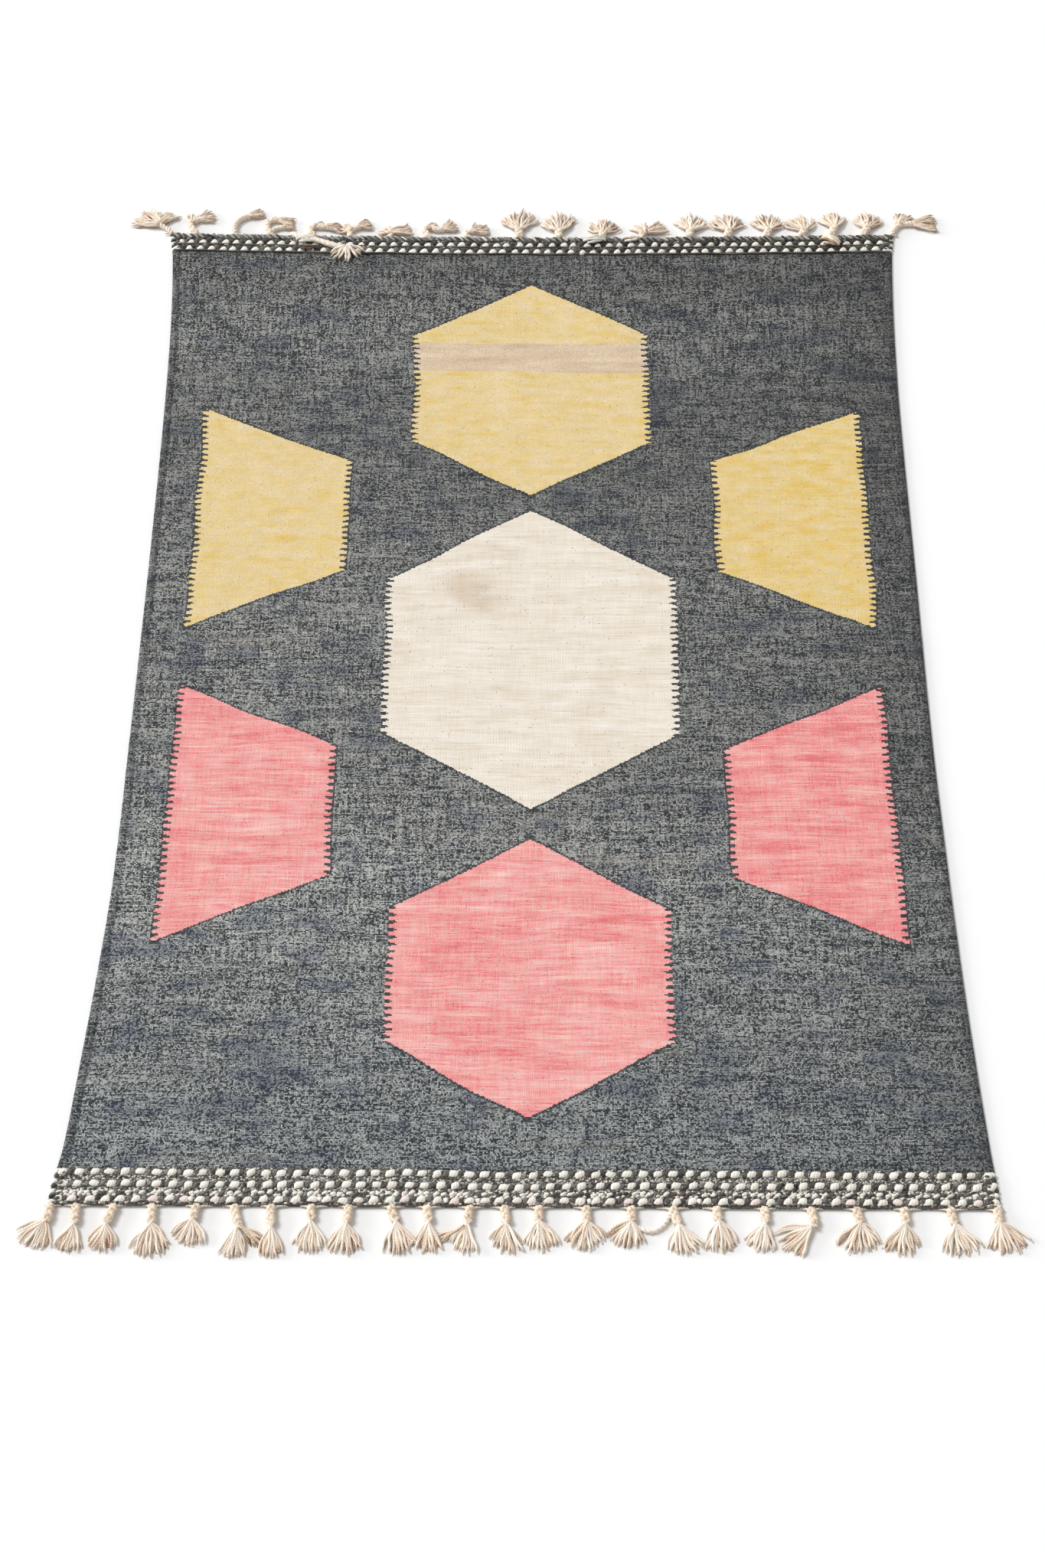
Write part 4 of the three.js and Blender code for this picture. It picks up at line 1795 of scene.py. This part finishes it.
    def _cords(self) -> Surface:
        """All the twisted cords.

        Each ply is a helix about a line along the band: it swings sideways by the cosine
        and up by the sine of its turn, one turn for each pitch.
        """
        shapes = []
        high, edge_high = self.cord_high
        for number, row in enumerate(self.cords):
            turns = round(self.width / row.pitch)
            u = np.linspace(-self.cord_half, self.cord_half, turns * self.cord_steps + 1)
            x, y = self.at(u, row.out + self.ripples(u, self.cord_wander, 0.0, number))
            level = np.interp(row.out, (0, self.depth - 3, self.depth), (high, high, edge_high))
            tone = 0.5 + self.ripples(u, self.cord_shade, 40.0, number)
            for ply, strand in enumerate(row.yarns):
                phase = 2 * np.pi * (u * turns / 2 + ply / len(row.yarns))
                path = np.stack([x, y + row.ply * np.cos(phase), level + row.ply * np.sin(phase)], -1)
                shapes.append(tube(path[None], row.ply * 1.05, 5, tone[None], 0.0, strand))
        return Surface.join(shapes)


class Ply(NamedTuple):
    """A strand of a cord: its radius against the cord's width, and the length of one turn."""

    radius: float
    pitch: float


PLIES = {2: Ply(0.29, 13.0), 3: Ply(0.31, 30.0)}


class EndLook(NamedTuple):
    """How the tassels of one end lie.

    A straight neck is slack longer than its row says and makes that share of its turn
    towards the skirt. middle and side are how long a skirt's yarns are there against its
    row. bell is the share of the half angle that a bundle has at its start and its tips,
    stray how far its yarns leave their headings, layer the height of a layer and curl the
    most that a yarn rises in a curl.
    """

    slack: float
    turn: float
    neck_wide: float
    neck_tone: float
    skirt_tone: float
    middle: float
    side: float
    bell: Pair
    stray: float
    layer: float
    curl: float


END_LOOKS = {
    End.NEAR: EndLook(3.0, 0.8, 12.8, 0.47, 0.78, 1.0, 1.0, (1.75, 0.8), 1.0, 2.0, 0.6),
    End.FAR: EndLook(0.0, 0.3, 14.3, 0.56, 0.68, 1.2, 0.78, (1.1, 0.85), 1.5, 2.4, 1.6),
}


@dataclass
class Tassel:
    """A tassel: a plaited neck and a skirt of loose yarn ends, or, where it fell in a curl,
    the cords and bundles that its tables give. Some near ones have a side bundle or a loop
    besides."""

    cloth: ClothShape
    end: End
    number: int
    row: TasselRow
    yarns: list[Material]
    routes: tuple[Route, ...] = ()
    lobes: tuple[Lobe, ...] = ()
    lumps: tuple[Lump, ...] = ()
    root_gap: float = 0.4
    fray: float = 3.0
    tuck: float = 3.0
    lean_within: float = 12.0
    turn_from: float = 0.4
    over_from: float = 6.0
    over_band: float = 7.0
    over_field: float = 5.0
    over_edge: float = 9.0
    over_seam: float = 14.0
    neck_steps: int = 28
    neck_hidden: int = 5
    yarn_count: int = 17
    yarn_radius: float = 1.75
    yarn_steps: int = 12
    disc: float = 5.4
    arm_reach: Pair = (13.0, 22.0)
    arm_limit: float = 618.0
    arm_radius: Pair = (1.1, 2.5)
    collar_wide: float = 4.1
    collar_high: float = 3.3
    collar_level: float = 4.4
    # a dark bead that stands for the shadow under the collar: its half sizes and height
    shadow_bead: tuple[float, float, float] = (1.7, 1.3, 1.0)
    shadow_bead_level: float = 7.0

    @property
    def name(self) -> str:
        """Name of the tassel, the same as its CAD node's."""
        return f"tassel_{self.end.name.lower()}_{self.number:02d}"

    @property
    def look(self) -> EndLook:
        """How the tassels of its end lie."""
        return END_LOOKS[self.end]

    @property
    def edge(self) -> float:
        """Y of the band's outer edge where the tassel grows from it."""
        return self.cloth.edge(self.end, self.row.x)

    def compass(self, degrees: Array | float) -> Array:
        """A heading from straight out of the edge, as radians clockwise from +Y."""
        straight = 0.0 if self.end is End.FAR else np.pi
        return straight + self.end.value * np.radians(degrees)

    def walk(self, start: Array, length: Array, heading: Array) -> Array:
        """Follows changing headings from a start.

        Each step adds the sine and cosine of its heading times an equal share of the length.

        Args:
            start: first points, (strands, 2).
            length: lengths of the paths, (strands,).
            heading: headings of the steps, (strands, steps).

        Returns:
            The points of the paths, (strands, steps + 1, 2).
        """
        stride = (length / heading.shape[1])[:, None, None]
        moves = np.stack([np.sin(heading), np.cos(heading)], -1) * stride
        places = np.concatenate([np.zeros_like(moves[:, :1]), np.cumsum(moves, 1)], 1)
        return start[:, None] + places

    def neck_line(self) -> Array:
        """The neck's middle line: out, then its lean, then some of the way to the skirt's."""
        row = self.row
        neck = row.neck + self.look.slack
        s = (np.arange(self.neck_steps) + 0.5) / self.neck_steps
        lean = row.lean * smooth(s * neck, 0, self.lean_within)
        turned = (row.fan - row.lean) * self.look.turn * smooth(s, self.turn_from, 1)
        root = np.array([[row.x, self.edge + self.end.value * self.root_gap]])
        return self.walk(root, np.array([neck]), self.compass(lean + turned)[None])[0]

    def route_line(self, route: Route) -> Array:
        """A smooth line through the points of a route, at even steps of its chord length.

        Args:
            route: the cord's route.

        Returns:
            The points of the line, (steps + 1, 2).
        """
        points = np.array(route.points, dtype=float)
        chord = np.concatenate([[0.0], np.cumsum(np.linalg.norm(np.diff(points, axis=0), axis=1))])
        at = np.linspace(0, chord[-1], self.neck_steps + 1)
        return np.stack([along(chord, points[:, 0], at), along(chord, points[:, 1], at)], -1)

    def is_over(self, y: float) -> bool:
        """Whether what lies at that place along the length lies on the far band."""
        return self.end is End.FAR and y < self.edge - self.over_from

    def rest(self, y: Array, over: bool) -> Array:
        """Height of what a yarn lies on: the floor, or the band and then the field.

        Args:
            y: places along the length.
            over: whether the yarn lies over the band.

        Returns:
            The height at each place.
        """
        if not over:
            return np.zeros(np.shape(y))
        on_field = smooth(self.cloth.far_seam - y, 0, self.over_seam)
        on_cloth = mix(self.over_band, self.over_field, on_field)
        return on_cloth * smooth(self.edge + self.over_edge - y, 0, self.over_edge)

    def build(self) -> Piece:
        """Makes the tassel in place of its CAD node."""
        rng = np.random.default_rng(1000 * (2 + self.end.value) + self.number)
        shapes = [self._arms(rng)]
        for route in self.routes:
            over = self.is_over(min(y for _, y in route.points))
            line = self.route_line(route)
            shapes.append(self._plait(line, route.wide, route.plies, route.tone, over, rng))
        if self.end is End.NEAR or not self.lobes:
            line = self.neck_line()[: self.neck_steps - self.neck_hidden]
            shapes.append(self._plait(line, self.look.neck_wide, 3, self.look.neck_tone, False, rng))
            shapes.append(self._collar(line, rng))
            shapes += self._skirt(line, rng)
        for lobe in self.lobes:
            shapes += self._bundle(lobe, (lobe.length,) * 3, self.is_over(lobe.y), rng)
        for lump in self.lumps:
            shapes.append(self._lump(lump, rng))
        piece = Surface.join(shapes).to_piece(f"knotted_{self.name}", self.yarns)
        return dress(piece, [self.name])

    def _plait(
        self, line: Array, wide: float, plies: int, tone: float, over: bool, rng: Random
    ) -> Surface:
        """A braided or twisted cord along a line.

        Three strands swing across by a sine and over and under by a sine of twice the turn,
        within the neck's width and height. Two strands wind about the line. The parts that
        pass under are painted darker and those on top lighter, as painted shade.

        Args:
            line: points of the middle line, (steps + 1, 2).
            wide: usual width of the cord.
            plies: how many strands it has.
            tone: lightness of its yarn.
            over: whether it lies over the band.
            rng: random numbers.

        Returns:
            The strands.
        """
        s = np.linspace(0, 1, len(line))
        run = np.gradient(line, axis=0)
        heading = np.arctan2(run[:, 0], run[:, 1])
        length = np.linalg.norm(np.diff(line, axis=0), axis=1).sum()
        scale = wide / NECK[1, 1]
        width = along(NECK[:, 0], NECK[:, 1], s) * scale
        high = along(NECK[:, 0], NECK[:, 2], s) * scale
        radius = width * PLIES[plies].radius
        turn = 2 * np.pi * (s * length / PLIES[plies].pitch + rng.random())
        phase = turn[None] + 2 * np.pi * np.arange(plies)[:, None] / plies
        swing = width / 2 - radius
        across = swing * np.sin(phase)
        lift = (high / 2 - radius) * np.sin(2 * phase) if plies == 3 else swing * np.cos(phase)
        middle = np.maximum(high / 2, radius)
        x = line[:, 0] + across * np.cos(heading)
        y = line[:, 1] - across * np.sin(heading)
        z = self.rest(y, over) + middle + np.maximum(lift, radius - middle)
        # painted shade: a strand is darker where it passes under, lighter where it lies on top
        tone = rng.normal(tone, 0.05, (plies, 1)) + 0.17 * lift / (high / 2)
        blush = 0.2 * rng.random((plies, 1)) + np.zeros(len(line))
        return tube(np.stack([x, y, z], -1), radius, 8, tone, blush)

    def _collar(self, line: Array, rng: Random) -> Surface:
        """The thin wrap at the collar, a closed ring about the line, and a dark brown bead under it, a
        painted shadow.

        The ring is an upright ellipse that swings to and fro along the line by a cosine.

        Args:
            line: points of the neck's middle line.
            rng: random numbers.

        Returns:
            The wrap and the shadow bead.
        """
        angle = 2 * np.pi * np.arange(20) / 20
        run = line[-1] - line[-3]
        ahead = np.array([*run, 0.0]) / np.linalg.norm(run)
        aside = np.array([ahead[1], -ahead[0], 0.0])
        centre = np.array([*line[-3], self.collar_level])
        swing = 1.2 * np.cos(angle + rng.uniform(0, 2 * np.pi))
        ring = centre + aside * (self.collar_wide * np.cos(angle))[:, None]
        ring = ring + UP * (self.collar_high * np.sin(angle))[:, None] + ahead * swing[:, None]
        wrap = tube(ring[None], 1.1, 6, 0.56, 0.15, up=ahead, closed=True)
        # painted shadow: a small dark brown bead where the skirt leaves the neck
        at = np.array([*line[-1], self.shadow_bead_level]) + ahead * 1.5 + aside * rng.uniform(-1.5, 1.5)
        yaw, tone = rng.uniform(0, 3, 1), np.array([0.35])
        shadow_bead = beads(at[None], np.array([self.shadow_bead]), yaw, 0.0, tone, np.zeros(1), Strand.BROWN, 4, 6)
        return Surface.join([wrap, shadow_bead])

    def _arms(self, rng: Random) -> Surface:
        """The warps that gather from both sides into the root: quarter bends out of the edge.

        A warp's distance from the root falls by a power of its length, and its distance
        from the edge rises by another.

        Args:
            rng: random numbers.

        Returns:
            The two warps.
        """
        s = np.linspace(0, 1, 11)
        reach = rng.uniform(*self.arm_reach, 2)
        sides = np.array([-1.0, 1.0])
        x = self.row.x + sides[:, None] * reach[:, None] * (1 - s) ** 1.3
        x = np.clip(x, -self.arm_limit, self.arm_limit)
        lean = np.sin(np.radians(np.clip(self.row.lean, -60, 60))) * 4.0 * s**2
        y = self.edge + self.end.value * (self.root_gap + 5.0 * s**2.2) + np.zeros_like(x)
        z = mix(2.6, 4.2, s) + np.zeros_like(x)
        radius = mix(*self.arm_radius, s**1.2)
        return tube(np.stack([x + lean, y, z], -1), radius, 6, mix(0.25, 0.6, s), 0.1, Strand.CREAM)

    def _skirt(self, line: Array, rng: Random) -> list[Surface]:
        """The skirt at the end of a straight neck, with its tips where the CAD node's are.

        Args:
            line: points of the neck's middle line.
            rng: random numbers.

        Returns:
            The yarns and their frayed ends.
        """
        row, look = self.row, self.look
        ahead = (line[-1] - line[-2]) / np.linalg.norm(line[-1] - line[-2])
        back = row.neck * self.neck_hidden / self.neck_steps + self.tuck
        left, right = (length - self.fray + back for length in (row.left, row.right))
        lengths = (left * look.side, (left + right) / 2 * look.middle, right * look.side)
        x, y = line[-1] - ahead * self.tuck
        skirt = Lobe(
            self.number, x, y, row.fan, 0.0, lengths[1], row.spread, self.yarn_count, look.skirt_tone
        )
        return self._bundle(skirt, lengths, False, rng)

    def _bundle(
        self, lobe: Lobe, lengths: tuple[float, float, float], over: bool, rng: Random
    ) -> list[Surface]:
        """Loose yarns that fan out from one place.

        Each yarn starts on a small disc and keeps its share of the half angle, which is
        wider at the start, so that the bundle swells like a bell. A slow wave bends it, and
        it falls from the cord's height to its layer. Shorter yarns lie beneath, painted darker
        as the shade between the upper ones. Every yarn is painted darker near its start, as
        shade under the neck, and by a random amount towards its tip, as painted shade.

        Args:
            lobe: the bundle.
            lengths: lengths of its left, middle and right yarns.
            over: whether it lies over the band.
            rng: random numbers.

        Returns:
            The yarns and their frayed ends.
        """
        look, yarns, steps = self.look, lobe.yarns, self.yarn_steps
        under = round(yarns * (0.35 if self.lobes else 0.8))
        total = yarns + under
        low = np.arange(total) >= yarns
        share = np.concatenate([np.linspace(-1, 1, yarns), np.linspace(-0.9, 0.9, under)])
        share = share + rng.normal(0, 0.08, total)
        length = np.interp(share, (-1, 0, 1), lengths)
        length = length * rng.uniform(0.9, 1.08, total) * np.where(low, 0.92, 1.0)
        middle = (np.arange(steps) + 0.5) / steps
        s = np.linspace(0, 1, steps + 1)
        stray = rng.uniform(6, 17, total)[:, None] * look.stray
        wave = np.sin(2 * np.pi * (middle * rng.uniform(0.5, 1.4, (total, 1)) + rng.random((total, 1))))
        wave = stray * wave * smooth(middle, 0.1, 0.6)
        fan = share[:, None] * lobe.spread * mix(*look.bell, middle)
        heading = self.compass(lobe.heading + lobe.turn * middle + fan + wave)
        face = self.compass(lobe.heading)
        disc = self.disc * share * min(1.0, yarns / 14) + rng.normal(0, 0.4, total)
        begin = np.array([lobe.x, lobe.y]) + disc[:, None] * np.array([np.cos(face), -np.sin(face)])
        xy = self.walk(begin, length, heading)
        radius = self.yarn_radius * lobe.thick * rng.uniform(0.82, 1.16, (total, 1))
        radius = radius * (1 - 0.2 * smooth(s, 0.85, 1))
        layer = np.where(low, 0, 1 + rng.permutation(total) % 2)
        rise = look.layer * layer[:, None]
        high = rise * (1 - 0.5 * s) + (3.4 - rise * 0.35) * (1 - s) ** 1.8
        curl = rng.uniform(0, look.curl, (total, 1))
        curl = curl * np.sin(np.pi * s * rng.uniform(1, 2.4, (total, 1))) ** 2
        z = self.rest(xy[..., 1], over) + radius + high + curl
        # painted shade: yarns darken by a random amount towards their tips
        tip_shade = rng.uniform(0.0, 0.5) * rng.random((total, 1)) * smooth(s, 0.35, 0.9)
        # painted shade: darker near the start, under the neck
        light = rng.normal(lobe.tone, 0.13, (total, 1)) - 0.15 * (1 - smooth(s, 0.0, 0.16)) - tip_shade
        # painted shade: the under yarns are darker, as the shade between the upper ones
        light = light - np.where(low, 0.36, 0.0)[:, None]
        blush = np.clip(rng.normal(0.12, 0.14, (total, 1)), 0, 0.5) + np.zeros(steps + 1)
        path = np.concatenate([xy, z[..., None]], -1)
        body = tube(path, radius, 5, light, blush)
        return [body, self._frayed(path, heading[:, -1], light[:, -1], blush[:, -1], over, rng)]

    def _frayed(
        self, path: Array, heading: Array, tone: Array, blush: Array, over: bool, rng: Random
    ) -> Surface:
        """Two fine ends at the tip of each yarn: short thin tubes that part by a few degrees.

        Args:
            path: points of the yarns, (yarns, steps, 3).
            heading: heading of each yarn at its tip.
            tone: lightness of each yarn there.
            blush: pinkness of each yarn there.
            over: whether they lie over the band.
            rng: random numbers.

        Returns:
            The fine ends.
        """
        t = np.linspace(0, 1, 4)
        count = len(path) * 2
        tip = np.repeat(path[:, -1], 2, axis=0)
        parting = np.tile([-11.0, 11.0], len(path)) + rng.normal(0, 7, count)
        turn = np.repeat(heading, 2) + np.radians(parting)
        reach = rng.uniform(2.8, 5.2, count)[:, None] * t - 1.2
        x = tip[:, :1] + reach * np.sin(turn)[:, None]
        y = tip[:, 1:2] + reach * np.cos(turn)[:, None]
        z = np.maximum(tip[:, 2:] - 1.2 * t, self.rest(y, over) + 0.6)
        light = np.repeat(tone, 2)[:, None] + rng.normal(0, 0.1, (count, 1)) + np.zeros(4)
        pink = np.repeat(blush, 2)[:, None] + np.zeros(4)
        return tube(np.stack([x, y, z], -1), mix(1.05, 0.6, t), 4, light, pink)

    def _lump(self, lump: Lump, rng: Random) -> Surface:
        """A knot of yarn: yarns side by side that arch over an oval, bowed round its middle.

        A yarn's place across is its share of the breadth, its length is the oval's there,
        and it rises by the product of two half circles, across and along.

        Args:
            lump: the knot.
            rng: random numbers.

        Returns:
            The yarns of the knot.
        """
        count = max(3, round(lump.deep / 1.9))
        t = np.linspace(-1, 1, 13)
        v = np.linspace(-0.86, 0.86, count)[:, None]
        reach = lump.wide * np.sqrt(1 - 0.7 * v * v) * t
        across = v * lump.deep * (1 - 0.35 * t * t) + 0.5 * rng.normal(0, 1, (count, 1))
        rise = lump.high * np.sqrt(1 - v * v) * np.sqrt(np.clip(1.02 - t * t, 0.02, 1))
        turn = np.radians(lump.yaw + rng.normal(0, 9, (count, 1)))
        x = lump.x + reach * np.cos(turn) - across * np.sin(turn)
        y = lump.y + reach * np.sin(turn) + across * np.cos(turn)
        z = self.rest(y, lump.y < self.edge + 2) + 1.2 + rise
        tone = rng.normal(0.55, 0.2, (count, 1)) + 0.14 * np.cos(5 * t + 3 * v)
        radius = 2.1 + 0.35 * np.cos(7 * t + 5 * v)
        return tube(np.stack([x, y, z], -1), radius, 6, tone, 0.05, lump.strand)


@dataclass(frozen=True)
class Studio:
    """A plain pale floor, soft lights and the camera."""

    focal_pixels: float = 3600.0
    frame_pixels: float = 2048.0
    sensor: float = 36.0
    camera_place: tuple[float, float, float] = (0.02355, -2.60482, 3.17448)
    yaw: float = -0.01263
    tilt: float = 0.929218
    roll: float = -0.006235
    floor_half: float = 14.0
    floor_drop: float = 0.0003
    floor_colour: Colour = (0.91, 0.91, 0.91)
    sky: float = 0.47
    lamps: tuple[Lamp, ...] = (
        Lamp("key", 150.0, 50.0, 2.05, 0.44),
        Lamp("low_side", 163.0, 15.0, 1.64, 0.35),
    )

    def build(self) -> None:
        """Makes the floor, the lights, the world and the camera."""
        self._floor()
        self._lights()
        self._camera()
        bpy.context.scene.view_settings.view_transform = "Standard"

    def _floor(self) -> None:
        """A wide plain floor just under the rug."""
        h, z = self.floor_half, -self.floor_drop
        mesh = bpy.data.meshes.new("floor")
        mesh.from_pydata([(-h, -h, z), (h, -h, z), (h, h, z), (-h, h, z)], [], [(0, 1, 2, 3)])
        paint = bpy.data.materials.new("floor_paint")
        paint.use_nodes = True
        look = {"Base Color": (*self.floor_colour, 1.0), "Roughness": 0.9, "Specular IOR Level": 0.0}
        set_inputs(paint.node_tree.nodes["Principled BSDF"], look)
        mesh.materials.append(paint)
        add_object("floor", mesh)

    def _lights(self) -> None:
        """Two broad soft lights from the left and the far left, and an even pale sky."""
        world = bpy.data.worlds.new("studio")
        world.use_nodes = True
        look = {"Color": (1.0, 1.0, 1.0, 1.0), "Strength": self.sky}
        set_inputs(world.node_tree.nodes["Background"], look)
        bpy.context.scene.world = world
        for row in self.lamps:
            light = bpy.data.lights.new(row.name, "SUN")
            light.energy = row.energy
            light.angle = row.angle
            lamp = add_object(row.name, light)
            around, above = math.radians(row.around), math.radians(row.above)
            level = math.cos(above)
            towards = Vector((math.cos(around) * level, math.sin(around) * level, math.sin(above)))
            lamp.rotation_euler = (-towards).to_track_quat("-Z", "Y").to_euler()

    def _camera(self) -> None:
        """The camera, from its yaw, its tilt below level and its roll."""
        level = math.cos(self.tilt)
        ahead = np.array([math.sin(self.yaw) * level, math.cos(self.yaw) * level, -math.sin(self.tilt)])
        right = np.array([math.cos(self.yaw), -math.sin(self.yaw), 0.0])
        above = np.cross(right, ahead)
        x_axis = math.cos(self.roll) * right + math.sin(self.roll) * above
        y_axis = -math.sin(self.roll) * right + math.cos(self.roll) * above
        lens = bpy.data.cameras.new("view")
        lens.sensor_width = self.sensor
        lens.lens = self.focal_pixels / self.frame_pixels * self.sensor
        lens.clip_end = 100.0
        camera = add_object("view", lens)
        turn = Matrix([list(x_axis), list(y_axis), list(-ahead)]).transposed()
        camera.matrix_world = Matrix.Translation(Vector(self.camera_place)) @ turn.to_4x4()
        bpy.context.scene.camera = camera


def main() -> None:
    """Builds the studio and the rug piece by piece; each piece logs its triangle count."""
    logging.basicConfig(level=logging.INFO, format="%(message)s", stream=sys.stdout)
    Studio().build()
    cloth = ClothShape()
    field_piece = WovenField(cloth).build()
    yarns = [finish.material() for finish in YARNS]
    near = TwinedBand(
        cloth, End.NEAR, NEAR_STITCHES, NEAR_CORDS, NEAR_GROUND, yarns,
        seed=11, dark_tone=0.58, dark_within=0.14, brown_share=0.03, fall=0.12,
    )
    far = TwinedBand(
        cloth, End.FAR, FAR_STITCHES, FAR_CORDS, FAR_GROUND, yarns,
        seed=12, dark_tone=0.32, dark_within=0.2, brown_share=0.1, fall=0.26,
    )
    near_band, far_band = near.build(), far.build()
    fallen = (FAR_ROUTES, FAR_LOBES, FAR_LUMPS)
    ends = ((End.NEAR, NEAR_TASSELS, (NEAR_ROUTES, NEAR_LOBES)), (End.FAR, FAR_TASSELS, fallen))
    for end, rows, extras in ends:
        for number, row in enumerate(rows, 1):
            own = [tuple(part for part in table if part.tassel == number) for table in extras]
            Tassel(cloth, end, number, row, yarns, *own).build()


if __name__ == "__main__":
    main()
